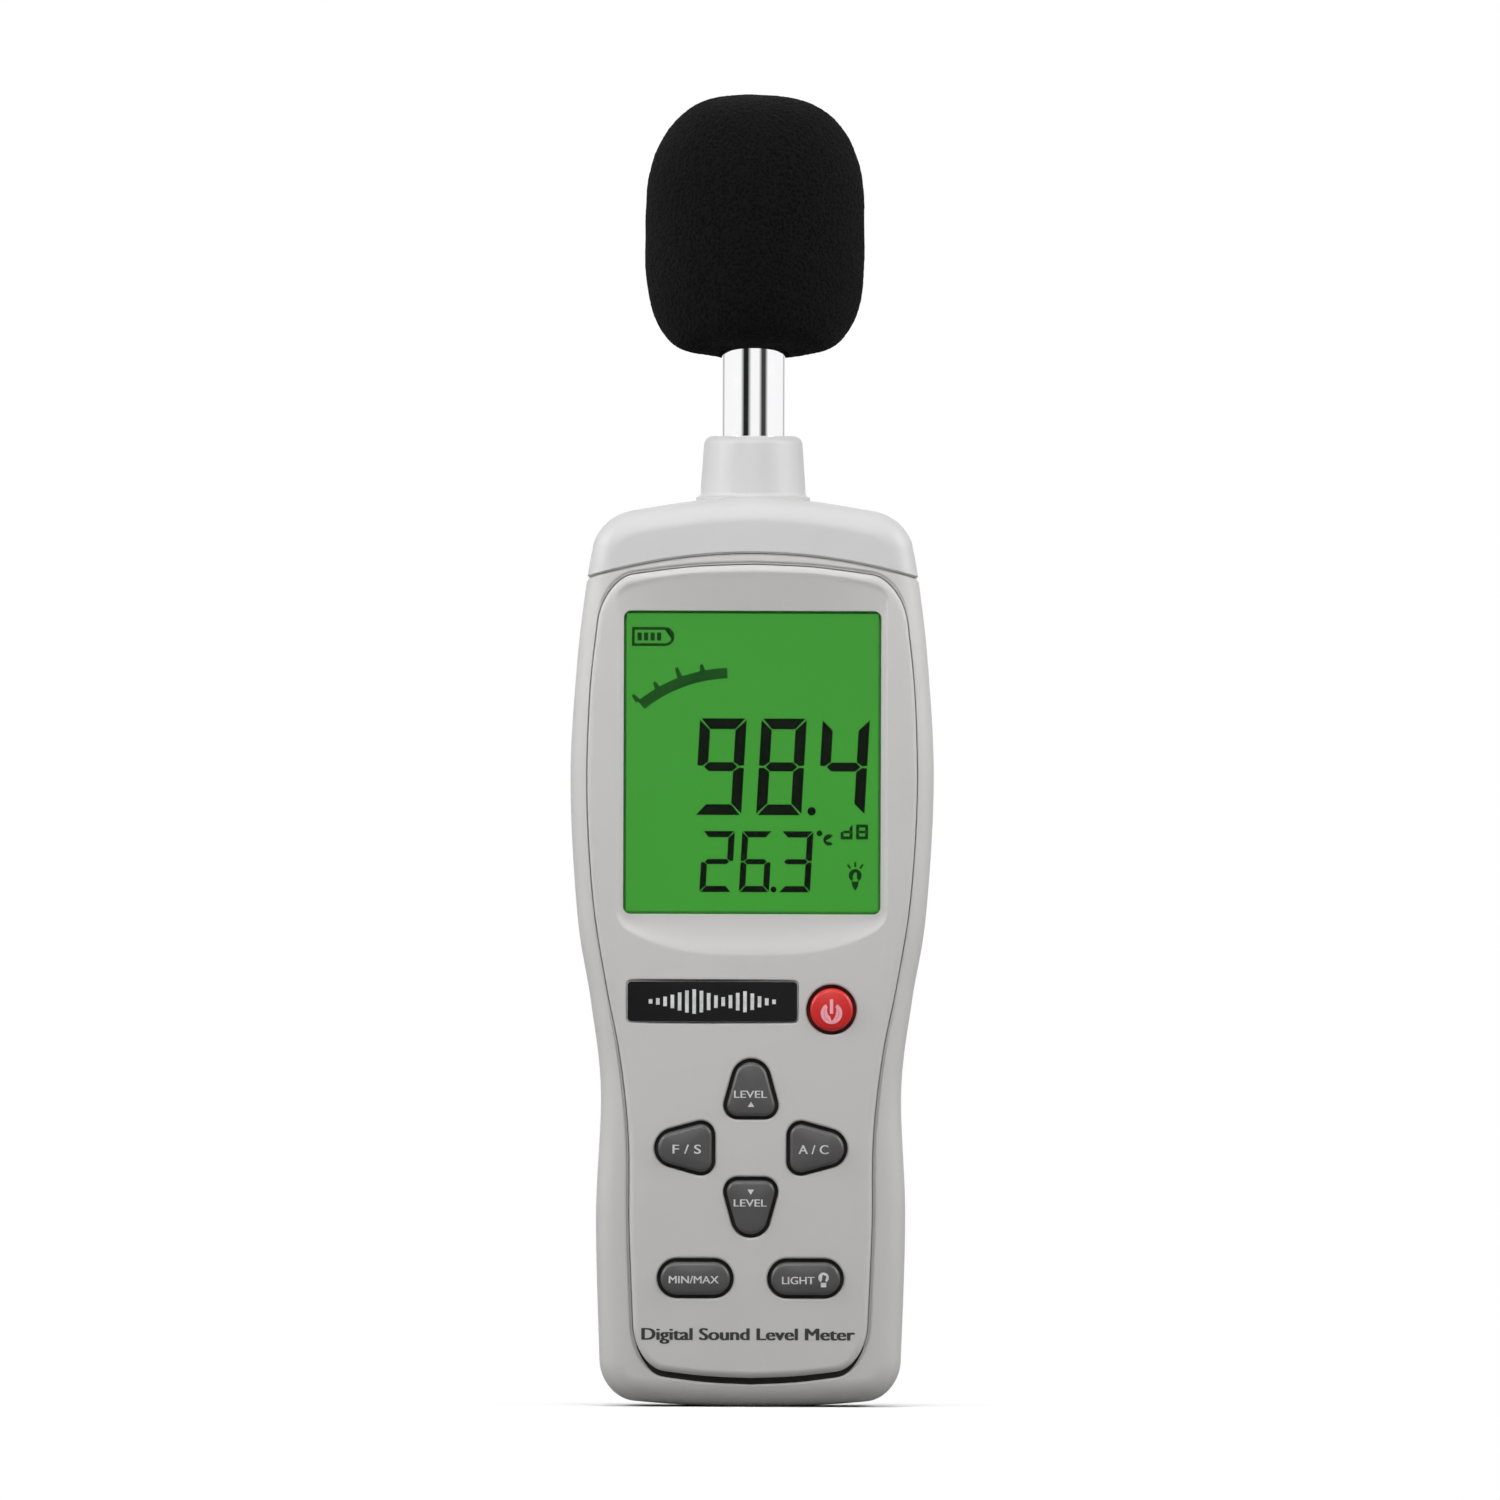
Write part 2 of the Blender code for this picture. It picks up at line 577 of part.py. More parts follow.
def make_board():
    half = points_2d(
        (0, 16.5), (23, 16.5), (23, 82.5), (19, 82.5), (19, 94),
        (28, 94), (28, 160), (26.5, 166.5), (0, 166.5),
    )
    board = prism("main_pcb", both_sides(half), PCB_Y, "board")
    for x, z in PCB_SCREWS:
        cut(board, rod(f"board_hole_{x:.0f}_{z:.0f}", 1.3, 8, "Y", at=(x, -12, z), sides=12))
    back = PCB_BACK
    box("mcu_chip", (-6, 6), (back, back + 1.5), (121, 133), "black_plastic")
    box("amp_chip", (-19, -15), (back, back + 1.6), (140, 145), "black_plastic")
    box("crystal", (10, 14), (back, back + 3.2), (116, 126), "steel")
    rod("capacitor", 3.1, 7.5, "Y", "black_plastic", (-18, back, 128), 20)
    box("mic_connector", (-4, 4), (back, back + 4), (150, 156), "white_plastic")
    bead = [(0, 2.4), (0.9, 1.9), (1.2, 1.2), (0.9, 0.4), (0, 0)]
    turned("thermistor", bead, "black_plastic", (20, back, 158), "Y", 10)
    x, y, z = TRIMMER
    box("trimmer_body", (x - 6.2, x - 0.1), (back, back + 6), (z - 3, z + 3), "blue_plastic")
    rotor = rod("trimmer_rotor", 1.6, 3.6, "X", "brass", (x, y, z), 16)
    cut(rotor, box("trimmer_slot", (2.6, 5), (-2, 2), (-0.3, 0.3), at=(x, y, z)))


def make_keys():
    """Each key with its flange under the shell, and the carbon pill on its foot."""
    for name, (circles, x, z) in KEYS.items():
        finish = "power_rubber" if name == "power" else "key_rubber"
        at = (x, 0, z)
        outline = key_outline(circles, 0.0, 16)
        key = prism(f"key_{name}", outline, (KEY_FACE, KEY_FOOT), finish, at, front_round=0.9, segments=2)
        flange = key_outline(circles, KEY_FLANGE_GROW, 16)
        join(key, prism(f"flange_{name}", flange, KEY_FLANGE, None, at))
        rod(f"pill_{name}", 2.2, 0.6, "Y", "black_plastic", (x, KEY_FOOT + 0.1, z), 12)


def make_keypad_mat():
    mat_y = (PCB_Y[0] - 1.1, PCB_Y[0] - 0.15)
    mat = prism("keypad_mat", rectangle((21.5, 21.6, 86.0)), mat_y, "silicone")
    for name, (circles, x, z) in KEYS.items():
        outline = key_outline(circles, 1.4, 12)
        join(mat, prism(f"collar_{name}", outline, (-11.2, mat_y[0] + 0.2), None, (x, 0, z)))
        cut(mat, prism(f"collar_hole_{name}", key_outline(circles, 0.4, 12), (-12, -8), None, (x, 0, z)))
    reliefs = [box(f"mat_relief_{low:.0f}", (low, low + 11.5), (-12, -8), (82, 90)) for low in (-30, 18.5)]
    cut(mat, *reliefs)


def make_microphone():
    low, high = TUBE_Z
    tube = [(TUBE_R, high), (TUBE_R, low), (TUBE_BORE, low), (TUBE_BORE, high)]
    turned("mic_tube", tube, "chrome", ring=True)
    seat = high + 0.3
    capsule = [(0, 236.6), (5.5, 236.6), (5.5, seat), (5.2, seat), (5.2, 227.5), (0, 227.5)]
    turned("mic_capsule", capsule, "steel", steps=20)
    grid = [(0, 238.6), (5.8, 238.6), (TUBE_R, 238.0), (TUBE_R, seat), (5.8, seat), (5.8, 237.4), (0, 237.4)]
    cap = turned("mic_grid", grid, "steel")
    for i in range(3):
        slot = box(f"grid_slot_{i}", (-4.4, 4.4), (-0.5, 0.5), (236.9, 240))
        slot.rotation_euler.z = math.radians(60 * i)
        cut(cap, slot)
    box("preamp_pcb", (-4.6, 4.6), (-0.5, 0.5), (178, 222), "board")
    nut = rod("mic_nut", 9.6, 3.6, "Z", "brass", (0, 0, 168.1), 6)
    cut(nut, rod("nut_bore", TUBE_R + FIT, 10, "Z", at=(0, 0, 165), sides=24))
    wire("mic_cable", ((0, 0, 177.6), (0, 0, 167), (0, -2.2, 161), (0, -4.8, 157.2)), 1.1, "black_plastic")


def make_windscreen():
    """Foam ball: two part superellipses of revolution over a blind bore."""
    mouth, wide, top = FOAM_Z
    bore = TUBE_R + FIT
    above, below = FOAM_POWERS
    outer = []
    halves = ((top - wide, above, range(90, 0, -15)), (wide - mouth, below, range(0, -76, -15)))
    for height, power, angles in halves:
        for degrees in angles:
            a = math.radians(degrees)
            radius = FOAM_R * math.cos(a) ** (2 / power)
            rise = math.copysign(height * abs(math.sin(a)) ** (2 / power), a)
            outer.append((0 if degrees == 90 else radius, wide + rise))
    inner = [(bore, mouth + 1.6), (bore, FOAM_BORE_TOP), (0, FOAM_BORE_TOP)]
    profile = outer + [(9.0, mouth), (7.6, mouth + 0.5)] + inner
    turned("windscreen", [(r, z - mouth) for r, z in profile], "foam", (0, 0, mouth), steps=28)


def make_battery():
    _, _, top = BATTERY
    middle = sum(BATTERY_Y) / 2
    battery = prism("battery", rectangle(BATTERY), BATTERY_Y, "battery_jacket")
    snap = box("battery_snap", (-12.6, 12.6), (middle - 6, middle + 6), (60.2, 64.8), "black_plastic")
    for name, x, radius in (("plus", -6.35, 2.9), ("minus", 6.35, 3.9)):
        join(battery, rod(f"terminal_{name}", radius, 3.0, "Z", at=(x, middle, top - 0.5), sides=14))
        cut(snap, rod(f"terminal_way_{name}", radius + FIT, 3.3, "Z", at=(x, middle, 59.5), sides=14))
    wires = (("battery_wire_red", 2.0, "red_wire"), ("battery_wire_black", -2.0, "black_plastic"))
    for name, x, finish in wires:
        path = ((x, -2.3, 62.5), (x, -2.8, 66), (x, -3.0, 71), (2.2 * x, -4.6, 76), (3 * x, -6.0, 80))
        wire(name, path, 0.6, finish)


def make_battery_door():
    """Door on two hooks. Its origin is on the hinge axis, along its lower outer edge."""
    hinge = Vector((0, GRIP_REAR, HINGE_Z))
    half, bottom, top = DOOR
    door = box(
        "battery_door", (-half, half), (-DOOR_THICK, 0), (bottom - HINGE_Z, top - HINGE_Z),
        "shell_plastic", hinge,
    )
    for x in (-9.0, 9.0):
        join(door, box(f"hook_{x:.0f}", (x - 2.5, x + 2.5), (-3.8, -1.5), (0.4, 1.6), at=hinge))
        join(door, box(f"hook_tip_{x:.0f}", (x - 2.5, x + 2.5), (-3.8, -2.6), (-1.5, 1.0), at=hinge))
    join(door, box("latch", (-4, 4), (-4.6, -1.5), (55.0, 56.2), at=hinge))
    for i in range(3):
        z = 46.0 + 2.6 * i
        join(door, box(f"grip_rib_{i}", (-8 + i, 8 - i), (-0.3, 0.5), (z, z + 1.1), at=hinge))
    box("battery_pad", (-10, 10), (-2.7, -2.1), (15, 40), "black_plastic", hinge)


def make_rear_fittings():
    turned(
        "tripod_insert",
        [(INSERT_R, 9.0), (INSERT_R, 0), (2.6, 0), (2.6, 9.0)],
        "brass", (0, REAR - 9.05, TRIPOD_Z), "Y", 20, ring=True,
    )
    prism("rear_label", rectangle(LABEL, 2.0), (REAR - 0.4, REAR - 0.1), "label")


def screw_mesh(name, head_radius, head, shank_radius, length, finish):
    """A cross-head screw along +Y, its head's outer face at y 0 and its shank towards -Y."""
    profile = [(0, 0), (head_radius - 0.3, 0), (head_radius, -0.3), (head_radius, -head)]
    profile.append((shank_radius, -head))
    profile += [(shank_radius, 0.6 - length), (0, -length)]
    blank = turned(name, profile, finish, axis="Y", steps=14)
    arm = head_radius * 0.62
    for side, x, z in (("flat", arm, 0.35), ("tall", 0.35, arm)):
        cut(blank, box(f"{name}_{side}", (-x, x), (-head * 0.6, 1), (-z, z)))
    return blank


def make_screws():
    """One screw of each kind is modelled and made a mesh, which its copies share."""
    kinds = (
        ("case_screw", CASE_SCREWS, (2.2, 1.6, 1.3, 16.0)),
        ("cap_screw", CAP_SCREWS, (2.2, 1.0, 0.9, 5.6)),
        ("pcb_screw", PCB_SCREWS, (2.0, 1.2, 0.8, 5.6)),
    )
    for kind, spots, sizes in kinds:
        pattern = screw_mesh(f"{kind}_pattern", *sizes, "steel")
        graph = bpy.context.evaluated_depsgraph_get()
        shape = bpy.data.meshes.new_from_object(pattern.evaluated_get(graph))
        shape.transform(pattern.matrix_world)
        shape.name = kind
        bpy.data.objects.remove(pattern)
        for i, (x, z) in enumerate(spots):
            screw = bpy.data.objects.new(f"{kind}_{i + 1}", shape)
            if kind == "case_screw":
                y = (GRIP_REAR if z < GRIP_STEP_Z[0] else REAR) - 4.3
            elif kind == "cap_screw":
                y = REAR - 0.15
            else:
                y = PCB_Y[1] + 1.3
            screw.location = Vector((x, y, z)) * MM
            collection("sound_level_meter").objects.link(screw)


def shade(angle=40.0):
    """Smooth shading with sharp edges kept, as moulded parts look."""
    for obj in collection("sound_level_meter").objects:
        if obj.type == "MESH":
            obj.data.shade_smooth()
            obj.data.set_sharp_from_angle(angle=math.radians(angle))


def main():
    for obj in list(bpy.data.objects):
        bpy.data.objects.remove(obj)
    make_front_shell()
    make_rear_shell()
    make_top_cap()
    make_front_panel()
    make_display()
    make_board()
    make_keys()
    make_keypad_mat()
    make_microphone()
    make_windscreen()
    make_battery()
    make_battery_door()
    make_rear_fittings()
    make_screws()
    shade()


main()
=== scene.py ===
"""Looks for the hand-held sound level meter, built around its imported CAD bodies.

Lengths are in millimetres and MM turns them into Blender's metres. +Z is up the long axis, the
display faces -Y, and the origin is the middle of the bottom end. Material settings are in metres.
"""

from math import copysign, cos, pi, radians, sin

import bmesh
import bpy
from mathutils import Matrix, Vector, noise
from mathutils.bvhtree import BVHTree
from mathutils.geometry import convex_hull_2d, interpolate_bezier


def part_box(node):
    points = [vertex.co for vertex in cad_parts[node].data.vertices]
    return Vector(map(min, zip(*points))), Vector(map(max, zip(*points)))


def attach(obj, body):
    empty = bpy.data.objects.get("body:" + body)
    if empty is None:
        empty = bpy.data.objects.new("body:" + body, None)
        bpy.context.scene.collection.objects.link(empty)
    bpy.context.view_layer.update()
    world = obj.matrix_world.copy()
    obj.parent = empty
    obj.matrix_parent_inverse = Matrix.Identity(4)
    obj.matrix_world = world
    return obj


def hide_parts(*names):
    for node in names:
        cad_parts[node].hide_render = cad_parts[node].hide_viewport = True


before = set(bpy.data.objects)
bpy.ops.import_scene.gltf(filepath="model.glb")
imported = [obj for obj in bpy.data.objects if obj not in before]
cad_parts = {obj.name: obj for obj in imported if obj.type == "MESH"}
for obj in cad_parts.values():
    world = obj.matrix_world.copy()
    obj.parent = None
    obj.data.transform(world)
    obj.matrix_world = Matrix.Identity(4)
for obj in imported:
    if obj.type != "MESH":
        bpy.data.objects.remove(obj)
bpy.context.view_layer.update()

MM = 0.001

# Case
FRONT = -16.0
REAR = 18.0
GRIP_REAR = 16.0
GRIP_STEP_Z = (70.0, 83.0)
WALL = 2.4
EDGE = 5.0
SEAM_GAP = 0.4
SEAM_TOP = 170.3
SEAM_SOFT = 0.3  # how far either side of the seam the surface is stepped in
SEAM_STEP = 0.2
SEAM_REACH = 2.0  # how far past the seam the stepped-in pieces run into their own side
SPLIT_LIP = 2.0  # how far back the lip is rooted that closes the gap between the shells
SEAM_DEPTH = 0.5
SEAM_FALL = 0.0045
SHOULDER_TOP = 181.9
NECK_TOP = 194.0

# Depths clear of the whole case, and just behind the panel, where cutters start and end
AHEAD = -25.0
BEHIND = 25.0
BEHIND_PANEL = -12.0

# Front panel
PANEL_FACE = -17.4
PANEL_BACK = -14.9
POCKET_FLOOR = -14.8
PANEL_GAP = 0.5
POCKET_DROP = 0.8  # how much wider the gap is under the panel's foot
POCKET_FOOT_Z = (5.3, 13.0)  # where that widening is full, and where it has gone
PANEL_EDGE = 1.4
CROWN_FALL = 1.2
CROWN_REACH = 27.0
CROWN_STEP = 1.5
WINDOW = (25.7, 98.4, 159.0)  # half width, bottom, top
WINDOW_MOUTH = -16.25
SCOOP_FLOOR = (-15.65, 25.9, 97.6, 158.9, 0.0, 0.0)  # y, half width, bottom, top, rise, fall
SCOOP_SIDES = (  # the same, with y taken from the crowned face's middle
    (-17.0, 26.6, 92.1, 165.2, 5.0, 2.6),
    (-17.2, 26.85, 91.15, 166.0, 5.7, 2.9),
    (-17.33, 27.05, 90.5, 166.45, 6.2, 3.15),
    (-17.42, 27.3, 89.8, 166.9, 6.6, 3.3),
    (AHEAD, 27.3, 89.8, 166.9, 6.6, 3.3),
)
SCOOP_CORNER = 2.2
GROOVE_FLOOR = -15.65
GROOVE_GAP = 0.16  # between panel and case below the groove's floor
GROOVE_LIP = 0.5
GROOVE_OPEN_Z = (7.5, 13.0)  # below this the groove has no floor
FOOT_SHADE_Y = (-15.2, -14.9)  # the dark strip that paints the shade under the panel's foot
LIP = 0.45  # rounding of the holes in the panel

CAPITAL_SHARE = 0.7  # a capital's height as a share of the font's size

# Keys: the circles that an outline goes round, as (x, z, radius) from the key's middle
KEY_GAP = 0.7
KEY_FLANGE_GROW = 1.2
KEY_FLANGE = (-13.4, -12.4)
KEY_DOME = 0.25
KEY_EDGE = 0.9
ROUND_KEY = ((0.0, 0.0, 4.3),)
LONG_KEY = ((-3.65, 0.0, 3.3), (3.65, 0.0, 3.3))
PETAL_KEY = ((-2.6, -3.2, 2.2), (2.6, -3.2, 2.2), (0.0, 2.1, 3.3))
LEGENDS = {  # text, height of its capitals, x and z from the key's middle, width
    "level_up": ("LEVEL", 1.45, -0.1, -1.0, 6.6),
    "level_down": ("LEVEL", 1.45, -0.1, 0.9, 6.6),
    "time_weighting": ("F / S", 1.8, 0.4, -0.2, 5.7),
    "frequency_weighting": ("A / C", 1.8, -0.7, -0.2, 6.0),
    "min_max": ("MIN/MAX", 1.5, -0.3, -0.25, 10.0),
    "light": ("LIGHT", 1.5, -1.45, -0.35, 6.5),
}

# Microphone and windscreen
TUBE_BORE = 5.5
MIC_WAY = 6.65
FOAM_WIDEST_Z = 236.0
FOAM_BORE_TOP = 240.0
FOAM_LEAN = radians(0.3)
FOAM_ASIDE = 0.25
FOAM_ARCH = 2.5  # how far the foam curls up in front of the tube
FOAM_ARCH_REACH = 7.0  # and how far above the mouth that fades out

# Rear
DOOR_THICK = 2.0
DOOR_BOTTOM = 10.0
DOOR_HINGE_Z = 9.85
FIT = 0.3
BAY = (14.0, 12.2, 66.5)  # half width, bottom, top
BAY_FLOOR = -4.2
BAY_WALL = 1.4
TRIPOD_Z = 100.0
INSERT_R = 4.5
SCREW_WELL = 2.5
CASE_SCREWS = ((-26.0, 88.5), (26.0, 88.5), (-21.0, 12.0), (21.0, 12.0))
CAP_SCREWS = ((-20.0, 160.0), (20.0, 160.0))

# Camera
CAMERA_X = -0.45
CAMERA_Z = 131.2
CAMERA_BACK = 8000.0
FRAME_WIDTH = 299.8  # what the picture spans at FRAME_Y
FRAME_Y = -8.0
CAMERA_ROLL = -0.2  # degrees
FLAG_DISTANCE = 0.65


# ---------------------------------------------------------------- materials


def feed(shader_node, inputs):
    """Sets a node's inputs: a socket is linked, and anything else is the input's own value."""
    for name, value in inputs.items():
        socket = shader_node.inputs[name]
        if isinstance(value, bpy.types.NodeSocket):
            shader_node.id_data.links.new(value, socket)
        elif socket.type == "RGBA":
            socket.default_value = (*value, 1.0)
        else:
            socket.default_value = value


def node(tree, kind, inputs=None, **settings):
    made = tree.nodes.new(f"ShaderNode{kind}")
    for name, value in settings.items():
        setattr(made, name, value)
    feed(made, inputs or {})
    return made


def new_material(name):
    made = bpy.data.materials.new(name)
    made.use_nodes = True
    tree = made.node_tree
    return made, tree, tree.nodes["Principled BSDF"]


def place_in(tree):
    return node(tree, "TexCoord").outputs["Object"]


def along(tree, axis):
    return node(tree, "SeparateXYZ", {"Vector": place_in(tree)}).outputs[axis]


def noise_of(tree, scale, detail=2.0, roughness=0.5, stretch=None):
    """Noise over object coordinates in metres; scale is in features per metre."""
    place = place_in(tree)
    if stretch:
        place = node(tree, "Mapping", {"Vector": place, "Scale": stretch}).outputs["Vector"]
    inputs = {"Vector": place, "Scale": scale, "Detail": detail, "Roughness": roughness}
    return node(tree, "TexNoise", inputs).outputs["Fac"]


def remap(tree, value, low, high, from_low=0.3, from_high=0.7):
    inputs = {"Value": value, "From Min": from_low, "From Max": from_high, "To Min": low, "To Max": high}
    return node(tree, "MapRange", inputs).outputs["Result"]


def blend_colours(tree, factor, first, second):
    """Mixes two colours, each an rgb tuple or a socket; 0, 6, 7 and 2 are the mix node's colour sockets."""
    return node(tree, "Mix", {0: factor, 6: first, 7: second}, data_type="RGBA").outputs[2]


def maths(tree, operation, *values):
    return node(tree, "Math", dict(enumerate(values)), operation=operation).outputs["Value"]


def bump(tree, height, distance, strength=1.0, below=None):
    inputs = {"Height": height, "Distance": distance, "Strength": strength}
    if below:
        inputs["Normal"] = below
    return node(tree, "Bump", inputs).outputs["Normal"]


def crevice(tree, distance=0.0012):
    """0 in tight corners and 1 in the open; it places the painted shade in crevices."""
    made = node(tree, "AmbientOcclusion", {"Distance": distance}, samples=6)
    return remap(tree, made.outputs["AO"], 0.0, 1.0, 0.35, 0.85)


def surface(
    name, colour, roughness, metallic=0.0, grain=6000.0, depth=0.00004, vary=0.04, patches=60.0,
    spread=0.06, edge=0.0, crevice_shade=None, stretch=None, coat=0.0, specular=0.5,
):
    """A worn, grained surface: colour drifts over patches, and grain roughens it. Where a crevice colour is
    given, it is painted into tight corners as shade.
    """
    made, tree, shader = new_material(name)
    darker = tuple(c * (1 - vary) for c in colour)
    lighter = tuple(min(1.0, c * (1 + vary)) for c in colour)
    drift = remap(tree, noise_of(tree, patches, 3.0), 0.0, 1.0)
    tone = blend_colours(tree, drift, darker, lighter)
    # Painted shade: the crevice colour darkens the tone where ambient occlusion finds a tight corner.
    if crevice_shade:
        tone = blend_colours(tree, crevice(tree), crevice_shade, tone)
    fine = noise_of(tree, grain, 3.0, 0.6, stretch)
    rough = noise_of(tree, grain / 12, 4.0, 0.6, stretch)
    soft_edge = node(tree, "Bevel", {"Radius": edge}, samples=4).outputs["Normal"] if edge else None
    feed(shader, {
        "Base Color": tone,
        "Roughness": remap(tree, rough, max(0.02, roughness - spread), roughness + spread),
        "Metallic": metallic,
        "Specular IOR Level": specular,
        "Coat Weight": coat,
        "Coat Roughness": 0.15,
        "Normal": bump(tree, fine, depth, 1.0, soft_edge),
    })
    return made


def foam_material():
    """Open-cell foam: pores as dark pits between paler struts, their darkness painted shade."""
    made, tree, shader = new_material("foam_black")
    inputs = {"Vector": place_in(tree), "Scale": 1500.0, "Smoothness": 0.4}
    cells = node(tree, "TexVoronoi", inputs, feature="SMOOTH_F1").outputs["Distance"]
    # Painted shade: the colour darkens towards each pore's middle.
    strut = remap(tree, cells, 0.0, 1.0, 0.1, 0.6)
    tone = blend_colours(tree, strut, (0.0012, 0.0012, 0.0013), (0.0052, 0.0051, 0.005))
    lint = remap(tree, noise_of(tree, 900.0, 5.0, 0.75), 0.0, 1.0, 0.6, 0.78)
    pits = bump(tree, cells, 0.00035, 0.9)
    feed(shader, {
        "Base Color": blend_colours(tree, lint, tone, (0.011, 0.011, 0.0115)),
        "Roughness": 1.0,
        "Specular IOR Level": 0.05,
        "Sheen Weight": 0.015,
        "Sheen Roughness": 0.6,
        "Normal": bump(tree, noise_of(tree, 5000.0, 4.0, 0.7), 0.0001, 0.8, pits),
    })
    return made


def chrome_material():
    made, tree, shader = new_material("chrome_plate")
    drawn = noise_of(tree, 9000.0, 2.0, 0.5, (1.0, 1.0, 0.02))
    feed(shader, {
        "Base Color": (0.93, 0.93, 0.94),
        "Metallic": 1.0,
        "Roughness": remap(tree, noise_of(tree, 220.0, 4.0, 0.6), 0.03, 0.09),
        "Normal": bump(tree, drawn, 0.000002, 0.25),
    })
    return made


def lcd_material():
    """Backlit green behind the glass, a little uneven as a side-lit guide is."""
    made, tree, shader = new_material("lcd_backlit_green")
    height = remap(tree, along(tree, "Z"), 1.0, 0.0, WINDOW[1] * MM, WINDOW[2] * MM)
    glow = blend_colours(tree, height, (0.043, 0.265, 0.03), (0.041, 0.278, 0.027))
    drift = remap(tree, noise_of(tree, 45.0, 2.0), 0.0, 0.35)
    glow = blend_colours(tree, drift, glow, (0.046, 0.295, 0.033))
    feed(shader, {
        "Base Color": blend_colours(tree, 0.9, glow, (0.0, 0.0, 0.0)),
        "Emission Color": glow,
        "Emission Strength": 1.0,
        "Roughness": 0.35,
        "Specular IOR Level": 0.1,
        "Normal": bump(tree, noise_of(tree, 12000.0, 1.0), 0.00001, 0.2),
    })
    return made


def lens_material():
    """A clear window: light passes straight through, with a faint reflection and a few smears."""
    made, tree, _ = new_material("clear_window")
    tree.nodes.clear()
    smear = remap(tree, noise_of(tree, 130.0, 4.0, 0.6), 0.02, 0.12)
    clear = node(tree, "BsdfTransparent").outputs["BSDF"]
    gloss = node(tree, "BsdfGlossy", {"Roughness": smear}).outputs["BSDF"]
    facing = node(tree, "Fresnel", {"IOR": 1.1}).outputs["Fac"]
    mix = node(tree, "MixShader", {0: facing, 1: clear, 2: gloss})
    node(tree, "OutputMaterial", {"Surface": mix.outputs["Shader"]})
    return made


def board_material():
    """Solder mask with copper tracks showing through as a paler net."""
    made, tree, shader = new_material("solder_mask")
    inputs = {"Vector": place_in(tree), "Rotation": (radians(90), 0, 0)}
    inputs = {
        "Vector": node(tree, "Mapping", inputs).outputs["Vector"],
        "Scale": 160.0,
        "Mortar Size": 0.03,
        "Color1": (0.012, 0.13, 0.045),
        "Color2": (0.014, 0.15, 0.05),
        "Mortar": (0.03, 0.27, 0.1),
    }
    tracks = node(tree, "TexBrick", inputs, offset=0.5)
    feed(shader, {
        "Base Color": tracks.outputs["Color"],
        "Roughness": 0.3,
        "Coat Weight": 0.4,
        "Normal": bump(tree, tracks.outputs["Fac"], 0.00003, 0.6),
    })
    return made


def key_rubber(name, colour, crevice_shade, vary):
    return surface(name, colour, 0.38, grain=9000.0, depth=0.00002, vary=vary, spread=0.07, crevice_shade=crevice_shade)


def crystal_ink(name, colour, vary):
    return surface(name, colour, 0.4, depth=0.000004, vary=vary, specular=0.06)


def print_ink(name, colour, vary):
    return surface(name, colour, 0.5, grain=14000.0, depth=0.00001, vary=vary, patches=900.0)


def fine_plastic(name, colour, roughness, vary, grain):
    return surface(name, colour, roughness, vary=vary, grain=grain, depth=0.00003)


# Case and cap each carry a darker colour that is painted into their seams and crevices as shade.
CASE = surface(
    "case_plastic", (0.54, 0.535, 0.525), 0.5, edge=0.0003, crevice_shade=(0.46, 0.45, 0.435), depth=0.000035,
    vary=0.015, spread=0.05,
)
CAP = surface(
    "cap_plastic_pale", (0.56, 0.56, 0.56), 0.45, edge=0.0003, crevice_shade=(0.5, 0.5, 0.49), depth=0.00003,
    vary=0.012, spread=0.05,
)
# Keys carry a darker colour that is painted into their crevices as shade: near black on the grey keys, dark
# red on the power key.
RUBBER = key_rubber("key_silicone", (0.07, 0.067, 0.067), (0.01, 0.01, 0.01), 0.1)
RED_RUBBER = key_rubber("power_silicone", (0.6, 0.008, 0.006), (0.2, 0.01, 0.008), 0.06)
FOAM = foam_material()
CHROME = chrome_material()
LCD = lcd_material()
LENS = lens_material()
SEGMENT = crystal_ink("lcd_segment", (0.001, 0.006, 0.001), 0.2)
FAINT_SEGMENT = crystal_ink("lcd_segment_faint", (0.008, 0.05, 0.008), 0.25)
BAND_SEGMENT = crystal_ink("lcd_segment_band", (0.014, 0.1, 0.014), 0.3)
# Painted shade: a darker green for the display's edges, where the window's walls shade them.
LCD_EDGE_SHADE = crystal_ink("lcd_painted_edge_shade_ink", (0.05, 0.25, 0.045), 0.1)
LIGHT_PRINT = print_ink("pale_print", (0.62, 0.62, 0.62), 0.15)
PINK_PRINT = print_ink("pink_print", (0.82, 0.36, 0.42), 0.1)
DARK_PRINT = print_ink("dark_print", (0.018, 0.018, 0.02), 0.3)
PLATE = surface(
    "plate_black", (0.006, 0.006, 0.007), 0.34, grain=5000.0, depth=0.00001, vary=0.2, specular=0.15,
)
STEEL = surface(
    "zinc_steel", (0.56, 0.56, 0.57), 0.28, 1.0, grain=3500.0, depth=0.00001, vary=0.1, patches=400.0,
    spread=0.12, stretch=(1.0, 6.0, 1.0), edge=0.00008,
)
BRASS = surface(
    "turned_brass", (0.72, 0.47, 0.16), 0.26, 1.0, grain=3000.0, depth=0.000012, vary=0.12, patches=300.0,
    spread=0.1, stretch=(1.0, 8.0, 1.0), edge=0.00008,
)
